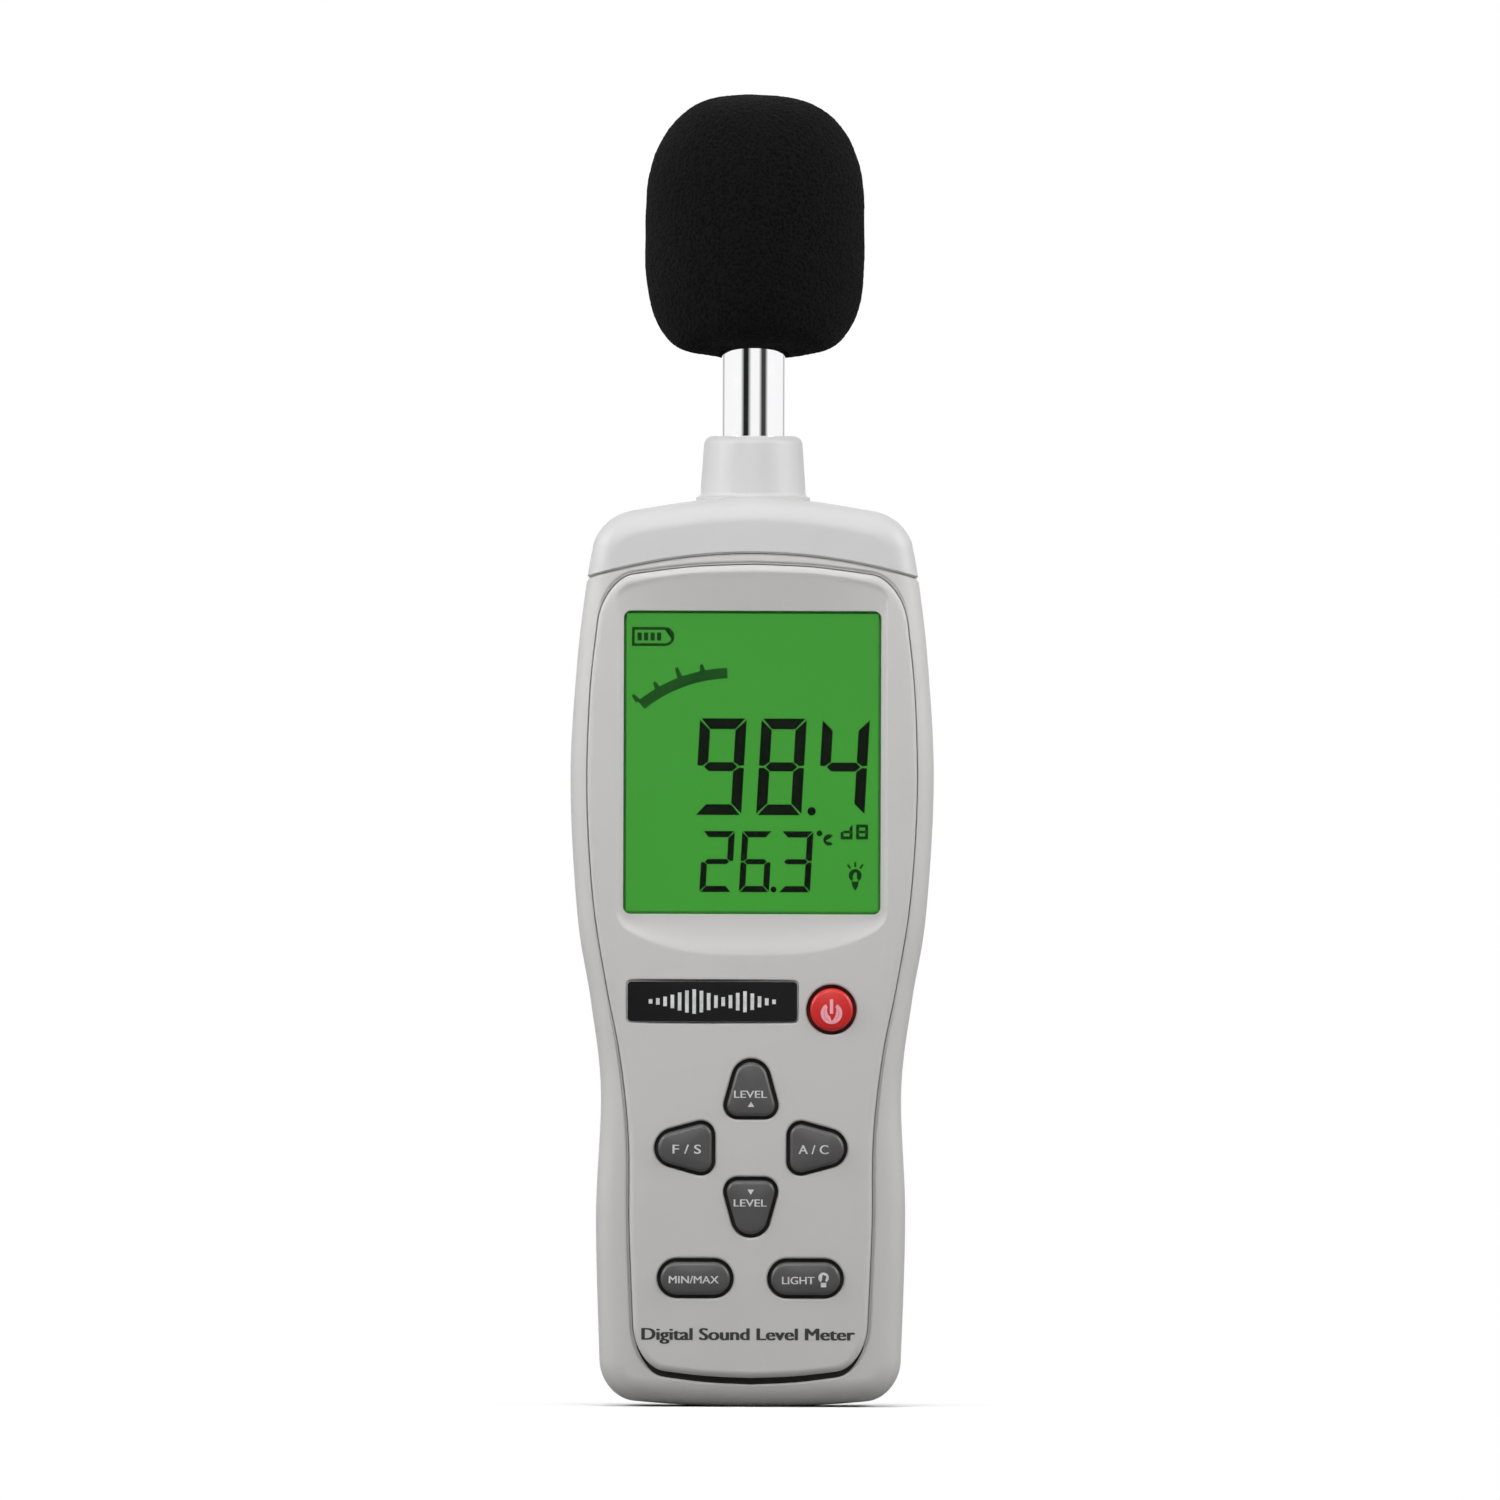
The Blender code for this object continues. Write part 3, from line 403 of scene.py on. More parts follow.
# Near black: painted shade for the gap under the panel's foot.
FOOT_SHADE_STRIP = surface("foot_shade_black", (0.024, 0.022, 0.02), 0.7, vary=0.2, depth=0.00003, specular=0.2)
BLACK = fine_plastic("black_plastic_fine", (0.012, 0.012, 0.013), 0.42, 0.2, 7000.0)
WHITE = fine_plastic("white_plastic_fine", (0.72, 0.72, 0.69), 0.45, 0.04, 7000.0)
SILICONE = fine_plastic("grey_silicone", (0.2, 0.2, 0.205), 0.6, 0.08, 5000.0)
BLUE = surface("blue_trimmer", (0.012, 0.07, 0.38), 0.35, vary=0.08, coat=0.3)
BOARD = board_material()
FOIL = surface(
    "label_foil", (0.62, 0.625, 0.63), 0.34, 0.35, grain=2500.0, depth=0.000012, vary=0.05, patches=120.0,
    spread=0.08, stretch=(1.0, 1.0, 14.0),
)
JACKET = surface("battery_jacket_dark", (0.02, 0.022, 0.028), 0.3, 0.5, vary=0.15, depth=0.00001, coat=0.4)
JACKET_BAND = surface(
    "battery_jacket_copper", (0.5, 0.24, 0.1), 0.28, 0.8, vary=0.08, depth=0.00001, coat=0.4,
)
RED_WIRE = surface("wire_red", (0.5, 0.012, 0.01), 0.4, vary=0.08, depth=0.00002)
BLACK_WIRE = surface("wire_black", (0.012, 0.012, 0.012), 0.4, vary=0.15, depth=0.00002)


# ---------------------------------------------------------------- shape tools


def add_object(name, data):
    obj = bpy.data.objects.new(name, data)
    bpy.context.scene.collection.objects.link(obj)
    return obj


def object_from(name, bm, at=(0, 0, 0)):
    bmesh.ops.recalc_face_normals(bm, faces=bm.faces)
    bmesh.ops.transform(bm, matrix=Matrix.Scale(MM, 4), verts=bm.verts)
    bmesh.ops.translate(bm, vec=Vector(at) * MM, verts=bm.verts)
    mesh = bpy.data.meshes.new(name)
    bm.to_mesh(mesh)
    bm.free()
    return add_object(name, mesh)


def mm_box(cad_node):
    """A CAD node's lowest and highest corners, in millimetres."""
    low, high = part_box(cad_node)
    return low / MM, high / MM


def centre_of(cad_node):
    low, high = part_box(cad_node)
    return (low + high) / 2 / MM


def angles(start, end, steps):
    """Evenly spaced angles in radians, from degrees, with both ends."""
    return [radians(start + (end - start) * i / steps) for i in range(steps + 1)]


def circle(sides):
    return [2 * pi * i / sides for i in range(sides)]


def clamped(value):
    return min(1.0, max(0.0, value))


def eased(share):
    return share * share * (3 - 2 * share)


def quarter_round(size, steps, end=90):
    """A rounded edge as pairs, from (0, size) round to (size, 0)."""
    return [(size * (1 - cos(a)), size * (1 - sin(a))) for a in angles(0, end, steps)]


def loft(name, rings, at=(0, 0, 0), closed=False):
    """A skin through rings of equal length, with a flat cap on each end unless it closes on itself."""
    bm = bmesh.new()
    rows = [[bm.verts.new(p) for p in ring] for ring in rings]
    count = len(rows[0])
    for low, high in zip(rows, rows[1:] + (rows[:1] if closed else [])):
        for i in range(count):
            j = (i + 1) % count
            bm.faces.new((low[i], low[j], high[j], high[i]))
    if not closed:
        bm.faces.new(rows[0])
        bm.faces.new(rows[-1])
    return object_from(name, bm, at)


def level(outline, y):
    return [(p.x, y, p.y) for p in outline]


def prism(name, outline, y, at=(0, 0, 0), front_round=0.0, back_round=0.0, steps=6):
    """An outline in x and z carried from y[0] at the front to y[1], with rounded edges."""
    front, back = y
    rings = []
    if front_round:
        rings += [level(grow(outline, -s), front + c) for c, s in quarter_round(front_round, steps)[:-1]]
    rings += [level(outline, front + front_round), level(outline, back - back_round)]
    if back_round:
        rings += [level(grow(outline, -c), back - s) for c, s in quarter_round(back_round, steps)[1:]]
    return loft(name, rings, at)


def box(name, x, y, z):
    corners = points_2d((x[0], z[0]), (x[1], z[0]), (x[1], z[1]), (x[0], z[1]))
    return loft(name, [level(corners, y[0]), level(corners, y[1])])


def slab(name, front, back):
    """All of the case's space between two depths."""
    return box(name, (-50, 50), (front, back), (-10, 210))


def turned(name, profile, at=(0, 0, 0), axis="Z", sides=96, closed=False):
    """A turned shape from (radius, height) points, along the named axis from `at`."""
    rings = []
    for radius, height in profile:
        ring = [(radius * cos(a), radius * sin(a), height) for a in circle(sides)]
        if axis == "Y":
            ring = [(x, z, y) for x, y, z in ring]
        elif axis == "X":
            ring = [(z, x, y) for x, y, z in ring]
        rings.append(ring)
    return loft(name, rings, at, closed)


def rod(name, radius, length, axis="Y", at=(0, 0, 0)):
    return turned(name, [(radius, length), (radius, 0)], at, axis, 48)


def combine(target, tools, operation):
    """Applies a Boolean with each tool in turn, and removes the tools."""
    for tool in tools:
        step = target.modifiers.new(tool.name, "BOOLEAN")
        step.operation = operation
        step.solver = "EXACT"
        step.object = tool
    graph = bpy.context.evaluated_depsgraph_get()
    mesh = bpy.data.meshes.new_from_object(target.evaluated_get(graph))
    target.modifiers.clear()
    target.data = mesh
    for tool in tools:
        bpy.data.objects.remove(tool)
    return target


def cut(target, *tools):
    return combine(target, tools, "DIFFERENCE")


def join(target, *tools):
    return combine(target, tools, "UNION")


def points_2d(*pairs):
    return [Vector(p) for p in pairs]


def smooth(steps, *pairs):
    """A smooth path through points."""
    points = points_2d(*pairs)
    ends = [points[0]] + list(points) + [points[-1]]
    path = []
    for before, a, b, after in zip(ends, ends[1:], ends[2:], ends[3:]):
        path += interpolate_bezier(a, a + (b - before) / 6, b - (after - a) / 6, b, steps + 1)[:-1]
    return [Vector(p) for p in path] + [points[-1].copy()]


def corner(a, tip, b, steps=14):
    a, tip, b = points_2d(a, tip, b)
    return [Vector(p) for p in interpolate_bezier(a, a.lerp(tip, 0.56), b.lerp(tip, 0.56), b, steps + 1)]


def both_sides(half):
    return half + [Vector((-p.x, p.y)) for p in reversed(half[1:-1])]


def grow(outline, amount):
    moved = []
    for before, p, after in zip(outline[-1:] + outline[:-1], outline, outline[1:] + outline[:1]):
        into, out = (p - before).normalized(), (after - p).normalized()
        bisector = Vector((into.y + out.y, -into.x - out.x)).normalized()
        moved.append(p + bisector * amount / max(0.5, bisector.dot(Vector((out.y, -out.x)))))
    return moved


def rectangle(bounds, radius, centre=0.0):
    """A round-cornered rectangle from (half width, bottom, top)."""
    half, bottom, top = bounds
    outline = []
    for k, (x, z) in enumerate(((half, bottom), (half, top), (-half, top), (-half, bottom))):
        middle = Vector((x - copysign(radius, x), z + (radius if z == bottom else -radius)))
        for a in angles(90 * k - 90, 90 * k, 8):
            outline.append(middle + Vector((cos(a), sin(a))) * radius + Vector((centre, 0)))
    return outline


def plate_filling(name, cad_node, radius, **rounding):
    """A round-cornered plate that fills a CAD node's box."""
    low, high = mm_box(cad_node)
    return prism(name, rectangle((high.x, low.z, high.z), radius), (low.y, high.y), **rounding)


def case_outline():
    bottom = [Vector((x, x * x / 480)) for x in (0, 4, 8, 12, 16, 19.5)]
    foot = corner((23.0, 1.1), (29.6, 1.5), (30.1, 9.0))
    side = smooth(
        10, (30.1, 9.0), (30.9, 38.0), (30.0, 63.0), (32.1, 81.2), (34.8, 98.0), (36.3, 125.0),
        (35.0, 149.0), (33.2, 164.5), (32.0, 171.5),
    )
    shoulder = corner((32.0, 171.5), (31.2, 177.9), (24.0, 179.0))
    top = smooth(6, (24.0, 179.0), (12.0, 180.9), (0.0, SHOULDER_TOP))
    return both_sides(bottom + foot[:-1] + side[:-1] + shoulder[:-1] + top)


def panel_outline():
    bottom = smooth(4, (0.0, 5.8), (9.0, 6.2), (17.0, 7.1))
    foot = corner((17.0, 7.1), (22.8, 7.7), (23.4, 16.0))
    side = smooth(
        8, (23.4, 16.0), (24.2, 36.0), (24.4, 54.0), (26.2, 70.2), (28.9, 84.0), (31.6, 101.0),
        (32.9, 122.0), (32.4, 142.0), (31.0, 156.0),
    )
    shoulder = corner((31.0, 156.0), (30.2, 165.0), (24.0, 166.2))
    top = smooth(6, (24.0, 166.2), (12.0, 167.7), (0.0, 168.2))
    return both_sides(bottom[:-1] + foot[:-1] + side[:-1] + shoulder[:-1] + top)


def seam_side(name, above, inset=0.0):
    """All space above or below the cap's seam, starting half the gap (and inset) clear of it."""
    lift = (SEAM_GAP / 2 + inset) * (-1 if above else 1)
    far = 210.0 if above else -10.0
    edge = [Vector((x, SEAM_TOP + lift - SEAM_FALL * x * x)) for x in range(-40, 41)]
    return prism(name, edge + points_2d((40.0, far), (-40.0, far)), (-30, 30))


def sliced(obj, places, normal):
    """Cuts the mesh at each place along normal, so that it can bend there."""
    bm = bmesh.new()
    bm.from_mesh(obj.data)
    for place in places:
        everything = bm.verts[:] + bm.edges[:] + bm.faces[:]
        point = [part * place * MM for part in normal]
        bmesh.ops.bisect_plane(bm, geom=everything, plane_co=point, plane_no=normal, dist=1e-7)
    bm.to_mesh(obj.data)
    bm.free()
    return obj


def bend_rear(obj):
    """Draws the rear face in over the grip step."""
    low, high = GRIP_STEP_Z
    cuts = 18
    sliced(obj, [low + (high - low) * i / cuts for i in range(cuts + 1)], (0, 0, 1))
    for v in obj.data.vertices:
        if v.co.y > 0:
            share = eased(clamped((v.co.z / MM - low) / (high - low)))
            v.co.y *= (GRIP_REAR + (REAR - GRIP_REAR) * share) / REAR
    return obj


def case_body(name, inset, steps):
    """The case as one straight-backed block, drawn in by inset all round."""
    y = (FRONT + inset, REAR - inset)
    edge = EDGE - inset
    return prism(name, grow(case_outline(), -inset), y, front_round=edge, back_round=edge, steps=steps)


def case_blank(name):
    return bend_rear(case_body(name, 0.0, 12))


def case_cavity(name):
    return bend_rear(case_body(name, WALL, 4))


def inset_case(name, inset, *tools):
    return cut(case_body(name, inset, 8), *tools)


def key_outline(circles, amount=0.0):
    samples = [
        (x + (r + amount) * cos(a), z + (r + amount) * sin(a)) for x, z, r in circles for a in circle(48)
    ]
    return [Vector(samples[i]) for i in convex_hull_2d(samples)]


def turned_circles(circles, quarter_turns):
    for _ in range(quarter_turns):
        circles = tuple((-z, x, r) for x, z, r in circles)
    return circles


KEYS = {
    "power": ROUND_KEY,
    "level_up": PETAL_KEY,
    "time_weighting": turned_circles(PETAL_KEY, 1),
    "level_down": turned_circles(PETAL_KEY, 2),
    "frequency_weighting": turned_circles(PETAL_KEY, 3),
    "min_max": LONG_KEY,
    "light": LONG_KEY,
}


def flared(name, outline, throat, mouth_y, lip, at=(0, 0, 0)):
    """A cutter that widens by lip as it leaves the surface at mouth_y, so the hole gets a round edge."""
    rings = [level(outline, throat)]
    rings += [level(grow(outline, c), mouth_y + s) for c, s in quarter_round(lip, 6)]
    rings.append(level(grow(outline, lip), AHEAD))
    return loft(name, rings, at)


def dress(obj, material, angle):
    obj.data.materials.clear()
    obj.data.materials.append(material)
    obj.data.shade_smooth()
    obj.data.set_sharp_from_angle(angle=radians(angle))


def piece(obj, body, material, slot, *nodes, angle=32.0, weighted=True):
    """Finishes a new piece: material, shading, its body, and the CAD nodes it stands for."""
    dress(obj, material, angle)
    if weighted:
        step = obj.modifiers.new("Face weighted normals", "WEIGHTED_NORMAL")
        step.keep_sharp = True
    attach(obj, body)
    if nodes:
        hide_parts(*nodes)
    return obj


# ---------------------------------------------------------------- case


def seam_edge(name, inset, above, gap_share=0.0):
    """A band of the case beside the seam, drawn in by inset, without what is above or below the seam."""
    past = seam_side("past_seam", above, -SEAM_GAP * gap_share)
    return inset_case(name, inset, past, seam_side("far_side", not above, -SEAM_REACH))


def shell_blank(name):
    """Everything below the cap's seam, stepped in there, with a tongue that closes the gap from inside."""
    shell = cut(case_blank(name), seam_side("above_seam", True, SEAM_SOFT))
    step = seam_edge("step", SEAM_STEP, True)
    tongue = seam_edge("tongue", SEAM_DEPTH, True, 0.75)
    return cut(join(shell, step, tongue), case_cavity("cavity"))


def pocket_outline():
    """Where the panel sits: its outline and a gap, which widens below its foot."""
    low, high = POCKET_FOOT_Z
    outline = grow(panel_outline(), PANEL_GAP)
    for p in outline:
        p.y -= POCKET_DROP * clamped((high - p.y) / (high - low))
    return outline


def panel_pocket():
    """The panel's pocket: a soft-edged groove round it, and below that only a narrow gap."""
    wide = pocket_outline()
    low, high = GROOVE_OPEN_Z
    floor = []
    for near, far in zip(grow(panel_outline(), GROOVE_GAP), wide):
        floor.append(far.lerp(near, clamped((near.y - low) / (high - low))))
    pocket = flared("pocket", wide, GROOVE_FLOOR, FRONT, GROOVE_LIP)
    return join(pocket, prism("pocket_well", floor, (GROOVE_FLOOR - 0.5, POCKET_FLOOR)))


def make_panel_foot_shade():
    """A dark strip that paints the shade in the gap under the panel's foot, and thins away up either side.
    """
    low, high = GROOVE_OPEN_Z
    pairs = [pair for pair in zip(pocket_outline(), panel_outline()) if pair[1].y < high]
    pairs.sort(key=lambda pair: pair[0].x)
    outer, inner = [], []
    for far, near in pairs:
        share = min(1.0, max(0.03, (high - near.y) / (high - low)))
        outer.append(near.lerp(far, 0.04 + 0.92 * share))
        inner.append(near + Vector((0, 0.2 * share)))
    piece(prism("panel_foot_shade", outer + inner[::-1], FOOT_SHADE_Y), "case", FOOT_SHADE_STRIP, "shell_plastic")


def make_front_shell():
    shell = cut(shell_blank("front_shell_body"), slab("rear_half", -SEAM_GAP / 2, 30), panel_pocket())
    low, high = mm_box("display_lens")
    room = 0.4
    opening = rectangle((high.x + room, low.z - room, high.z + room), 1.0)
    tools = [prism("lens_opening", opening, (AHEAD, BEHIND_PANEL))]
    for key, circles in KEYS.items():
        centre = centre_of(f"key_{key}")
        hole = key_outline(circles, KEY_GAP)
        tools.append(prism(f"floor_{key}", hole, (AHEAD, BEHIND_PANEL), (centre.x, 0, centre.z)))
    trimmer = centre_of("trimmer_rotor")
    tools.append(rod("trimmer_hole", 2.0, 14, "X", (trimmer.x + 0.7, trimmer.y, trimmer.z)))
    piece(cut(shell, *tools), "case", CASE, "shell_plastic", "front_shell")


def well(name, x, z, radius, floor, face):
    """A round well in the rear face with a softened mouth."""
    lip = 0.3
    profile = [(radius, floor), (radius, face - lip), (radius + lip * 0.3, face - lip * 0.3)]
    profile += [(radius + lip, face), (radius + lip, face + 5)]
    return turned(name, profile, (x, 0, z), "Y", 64)


def make_rear_shell():
    shell = cut(shell_blank("rear_shell_body"), slab("front_half", -30, SEAM_GAP / 2))
    lip = inset_case(
        "split_lip", SEAM_DEPTH, seam_side("above_split_lip", True),
        slab("ahead_of_lip", -30, -SEAM_GAP * 0.3), slab("behind_lip", SPLIT_LIP, 30),
    )
    join(shell, cut(lip, case_cavity("split_cavity")))
    half, bottom, top = BAY
    wall = BAY_WALL + 2.1
    walls_z = (bottom - wall, top + 3)
    join(shell, box("bay_block", (-half - wall, half + wall), (BAY_FLOOR - BAY_WALL, 14.5), walls_z))
    _, door = mm_box("battery_door")
    recess = GRIP_REAR - DOOR_THICK - FIT
    opening = rectangle((door.x + FIT, DOOR_BOTTOM - FIT, door.z + FIT), 1.4)
    tools = [
        box("bay_hollow", (-half, half), (BAY_FLOOR, BEHIND), (bottom, top)),
        box("wire_notch", (-4, 4), (BAY_FLOOR, 2), (top - 1, top + 5)),
        prism("door_recess", opening, (recess, BEHIND)),
    ]
    for x in (-9.0, 9.0):
        tools.append(box(f"hook_slot_{x:.0f}", (x - 3, x + 3), (11.4, recess + 0.1), (7.4, 13)))
    cut(shell, *tools)
    posts, tools = [], []
    for x, z in CASE_SCREWS:
        face = GRIP_REAR if z < GRIP_STEP_Z[0] else REAR
        posts.append(rod(f"post_{x:.0f}_{z:.0f}", 3.4, face - 1.5, at=(x, 0.3, z)))
        tools.append(well(f"well_{x:.0f}_{z:.0f}", x, z, SCREW_WELL, face - 6, face))
        tools.append(rod(f"shank_{x:.0f}_{z:.0f}", 1.7, 30, at=(x, -2, z)))
    for x, z in CAP_SCREWS:
        tools.append(well(f"cap_well_{x:.0f}", x, z, SCREW_WELL, REAR - 1.3, REAR))
        tools.append(rod(f"cap_way_{x:.0f}", 1.4, 12, at=(x, 12, z)))
    posts.append(rod("tripod_boss", INSERT_R + 2, 9.5, at=(0, 7.5, TRIPOD_Z)))
    tools.append(well("tripod_way", 0, TRIPOD_Z, INSERT_R + 0.12, 8.7, REAR))
    low, high = mm_box("rear_label")
    pocket = rectangle((high.x + FIT, low.z - FIT, high.z + FIT), 2.3)
    tools.append(prism("label_pocket", pocket, (REAR - 0.5, BEHIND)))
    join(shell, *posts)
    piece(cut(shell, *tools), "case", CASE, "shell_plastic", "rear_shell")


def make_top_cap():
    cap = cut(case_blank("top_cap_body"), seam_side("below_seam", False, SEAM_SOFT))
    cut(join(cap, seam_edge("step", SEAM_STEP, False)), case_cavity("cap_cavity"))
    rim = 1.8
    neck = [(0.01, NECK_TOP), (7.7, NECK_TOP)]
    for a in angles(85, 5, 10):
        neck.append((8.05 + rim * cos(a), NECK_TOP - rim + rim * sin(a)))
    neck += [(9.98, 190.6), (10.45, 184.0)]
    neck += [(10.5 + c, 181.75 + s) for c, s in quarter_round(0.9, 8)]
    neck += [(11.4, 179.0), (8.8, 178.8), (8.8, 172.0), (0.01, 172.0)]
    join(cap, turned("neck", neck, sides=128))
    for x, _ in CAP_SCREWS:
        join(cap, box(f"tab_root_{x:.0f}", (x - 4, x + 4), (12.3, 16.4), (169.4, 174)))
        join(cap, box(f"tab_{x:.0f}", (x - 4, x + 4), (12.3, 15.3), (156, 172)))
    lip = 0.35
    bore = [(MIC_WAY, 160.0), (MIC_WAY, NECK_TOP - lip), (MIC_WAY + lip, NECK_TOP), (MIC_WAY + lip, 200.0)]
    holes = [rod(f"tab_hole_{x:.0f}", 1.1, 8, at=(x, 11, z)) for x, z in CAP_SCREWS]
    cut(cap, turned("mic_way", bore), *holes)
    piece(cap, "case", CAP, "cap_plastic", "top_cap", angle=40)


def crown_fall(x):
    return CROWN_FALL * min(1.0, abs(x) / CROWN_REACH) ** 3


def crowned(obj):
    """Bends a flat shape to the panel's crowned face."""
    for v in obj.data.vertices:
        keep = 1 - crown_fall(v.co.x / MM) / (PANEL_BACK - PANEL_FACE)
        v.co.y = (PANEL_BACK + (v.co.y / MM - PANEL_BACK) * keep) * MM
    return obj


def in_strips(obj, reach=33.0):
    count = int(2 * reach / CROWN_STEP)
    return sliced(obj, [-reach + CROWN_STEP * i for i in range(count + 1)], (1, 0, 0))


def make_front_panel():
    y = (PANEL_FACE, PANEL_BACK)
    panel = in_strips(prism("front_panel_body", panel_outline(), y, front_round=PANEL_EDGE, steps=7))
    tools = []
    for key, circles in KEYS.items():
        centre = centre_of(f"key_{key}")
        hole = key_outline(circles, KEY_GAP)
        tools.append(flared(f"hole_{key}", hole, BEHIND_PANEL, PANEL_FACE, LIP, (centre.x, 0, centre.z)))
    low, high = mm_box("name_plate")
    half, middle = (high.x - low.x) / 2, (high.x + low.x) / 2
    seat = rectangle((half + FIT, low.z - FIT, high.z + FIT), 0.9, middle)
    tools.append(flared("plate_seat", seat, PANEL_FACE + 0.4, PANEL_FACE, 0.2))
    crowned(cut(panel, *tools))
    cut(panel, window_scoop())
    cut(panel, flared("window", rectangle(WINDOW, 1.5), BEHIND_PANEL, WINDOW_MOUTH, 0.6))
    piece(panel, "case", CASE, "shell_plastic", "front_panel", angle=28)


def scoop_outline(half, bottom, top, rise, fall):
    """A rectangle whose lower edge rises, and whose upper edge falls, towards its ends."""
    corners = rectangle((half, bottom, top), SCOOP_CORNER)
    count = int((SCOOP_FLOOR[1] - SCOOP_CORNER) / CROWN_STEP)
    across = [CROWN_STEP * i for i in range(-count, count + 1)]
    upper = [Vector((x, top)) for x in reversed(across)]
    lower = [Vector((x, bottom)) for x in across]
    outline = corners[: len(corners) // 2] + upper + corners[len(corners) // 2 :] + lower
    for p in outline:
        share = (abs(p.x) / half) ** 3
        p.y += rise * share if p.y < (bottom + top) / 2 else -fall * share
    return outline


def window_scoop():
    """The hollow in front of the window, whose ramps run out to the crowned face round it."""
    floor_y, *bounds = SCOOP_FLOOR
    rings = [level(scoop_outline(*bounds), floor_y)]
    for y, *bounds in SCOOP_SIDES:
        rings.append([(p.x, y + crown_fall(p.x), p.y) for p in scoop_outline(*bounds)])
    return loft("scoop", rings)


# ---------------------------------------------------------------- printed marks


def face_of(obj):
    """A function giving the y of obj's front surface at x, z, in millimetres."""
    tree = BVHTree.FromObject(obj, bpy.context.evaluated_depsgraph_get())

    def y_at(x, z):
        hit = tree.ray_cast(Vector((x * MM, -0.1, z * MM)), Vector((0, 1, 0)))[0]
        return hit.y / MM if hit else None

    return y_at


def flat_face(y):
    """The same for a flat face at y."""
    return lambda *_: y


def arc_band(x, z, inner, outer, start, end, steps=24):
    """The outline of part of a ring; angles in degrees anticlockwise from +X."""
    turns = angles(start, end, steps)
    out = [Vector((x + outer * cos(a), z + outer * sin(a))) for a in turns]
    back = [Vector((x + inner * cos(a), z + inner * sin(a))) for a in reversed(turns)]
    return out + back


def bar(x0, x1, z0, z1):
    return points_2d((x0, z0), (x1, z0), (x1, z1), (x0, z1))


def ray(centre, degrees, start, end, half_start, half_end):
    """A mark that runs outwards from centre, between two distances, with a half width at each."""
    a = radians(degrees)
    out, side = Vector((cos(a), sin(a))), Vector((-sin(a), cos(a)))
    foot, tip = centre + out * start, centre + out * end
    wide, narrow = side * half_start, side * half_end
    return [foot + wide, foot - wide, tip - narrow, tip + narrow]


def frame_lines(half, bottom, top, line):
    across = [bar(-half, half, z, z + line) for z in (bottom, top - line)]
    return across + [bar(x, x + line, bottom + line, top - line) for x in (-half, half - line)]


def printed(name, outlines, ground, thick=0.05, sink=0.04):
    """Thin closed shapes laid on a surface; ground is its face, and the marks' material, body and slot."""
    bm = bmesh.new()
    for outline in outlines:
        face = bm.faces.new([bm.verts.new((p.x, 0, p.y)) for p in outline])
        bmesh.ops.triangulate(bm, faces=[face])
    return lay(name, bm, ground, thick, sink)


def lay(name, bm, ground, thick, sink):
    """Thickens a flat shape and lays it on a surface; off its edge the last height found is kept."""
    y_at, material, body, slot = ground
    grown = bmesh.ops.extrude_face_region(bm, geom=list(bm.faces), use_keep_orig=True)["geom"]
    raised = {v for v in grown if isinstance(v, bmesh.types.BMVert)}
    y = 0.0
    for v in bm.verts:
        found = y_at(v.co.x, v.co.z)
        if found is not None:
            y = found
        v.co.y = y - thick if v in raised else y + sink
    return piece(object_from(name, bm), body, material, slot, weighted=False)


def text_shape(text, size, x, z, width, mirror=1.0):
    """A flat bmesh of text centred on x and z and drawn to a width; size is its capitals' height."""
    curve = bpy.data.curves.new("text", "FONT")
    curve.body = text
    curve.size = size / CAPITAL_SHARE
    curve.resolution_u = 4
    source = add_object("text", curve)
    bpy.context.view_layer.update()
    mesh = bpy.data.meshes.new_from_object(source.evaluated_get(bpy.context.evaluated_depsgraph_get()))
    bpy.data.objects.remove(source)
    bm = bmesh.new()
    bm.from_mesh(mesh)
    bmesh.ops.remove_doubles(bm, verts=bm.verts, dist=1e-5)
    left = min(v.co.x for v in bm.verts)
    right = max(v.co.x for v in bm.verts)
    scale = width / (right - left) * mirror
    for v in bm.verts:
        v.co = Vector((x + (v.co.x - (left + right) / 2) * scale, 0, z + v.co.y - size / 2))
    return bm


def lettering(name, text, size, x, z, width, ground, bold):
    """Text laid on a surface, and struck again bold to either side, just below the first."""
    for i, (shift, thick) in enumerate(((0.0, 0.05), (-bold, 0.045), (bold, 0.04))):
        bm = text_shape(text, size, x + shift, z, width - 2 * bold)
        lay(f"{name}_{i}" if i else name, bm, ground, thick, 0.04)


def seven_segments(x, z, width, height, stroke, lit, slant=0.055, gap=0.14):
    """The lit segments of one digit, a to g, whose lower left corner is at x, z."""
    w, h, t = width - slant * height, height, stroke
    m = h / 2
    cut_in, rise, tip = t * 0.95 + gap, t * 0.42, t * 0.55 + gap
    shapes = {
        "a": [(gap * 2, h), (w - gap * 2, h), (w - cut_in, h - t), (cut_in, h - t)],
        "f": [
            (0, h - gap * 2), (t, h - t - gap * 1.5), (t, m + t * 0.45), (t * 0.45, m + gap),
            (0, m + gap * 2),
        ],
        "g": [
            (tip, m), (t + gap, m + rise), (w - t - gap, m + rise), (w - tip, m), (w - t - gap, m - rise),
            (t + gap, m - rise),
        ],
    }
    for below, above in (("d", "a"), ("e", "f")):
        shapes[below] = [(px, h - pz) for px, pz in shapes[above]]
    for right, left in (("b", "f"), ("c", "e")):
        shapes[right] = [(w - px, pz) for px, pz in shapes[left]]
    return [[Vector((x + px + slant * pz, z + pz)) for px, pz in shapes[s]] for s in lit]


def dot(x, z, radius):
    return arc_band(x, z, 0.0, radius, 0, 360 - 15)


DIGITS = {"9": "abcdfg", "8": "abcdefg", "4": "bcfg", "2": "abdeg", "6": "acdefg", "3": "abcdg"}


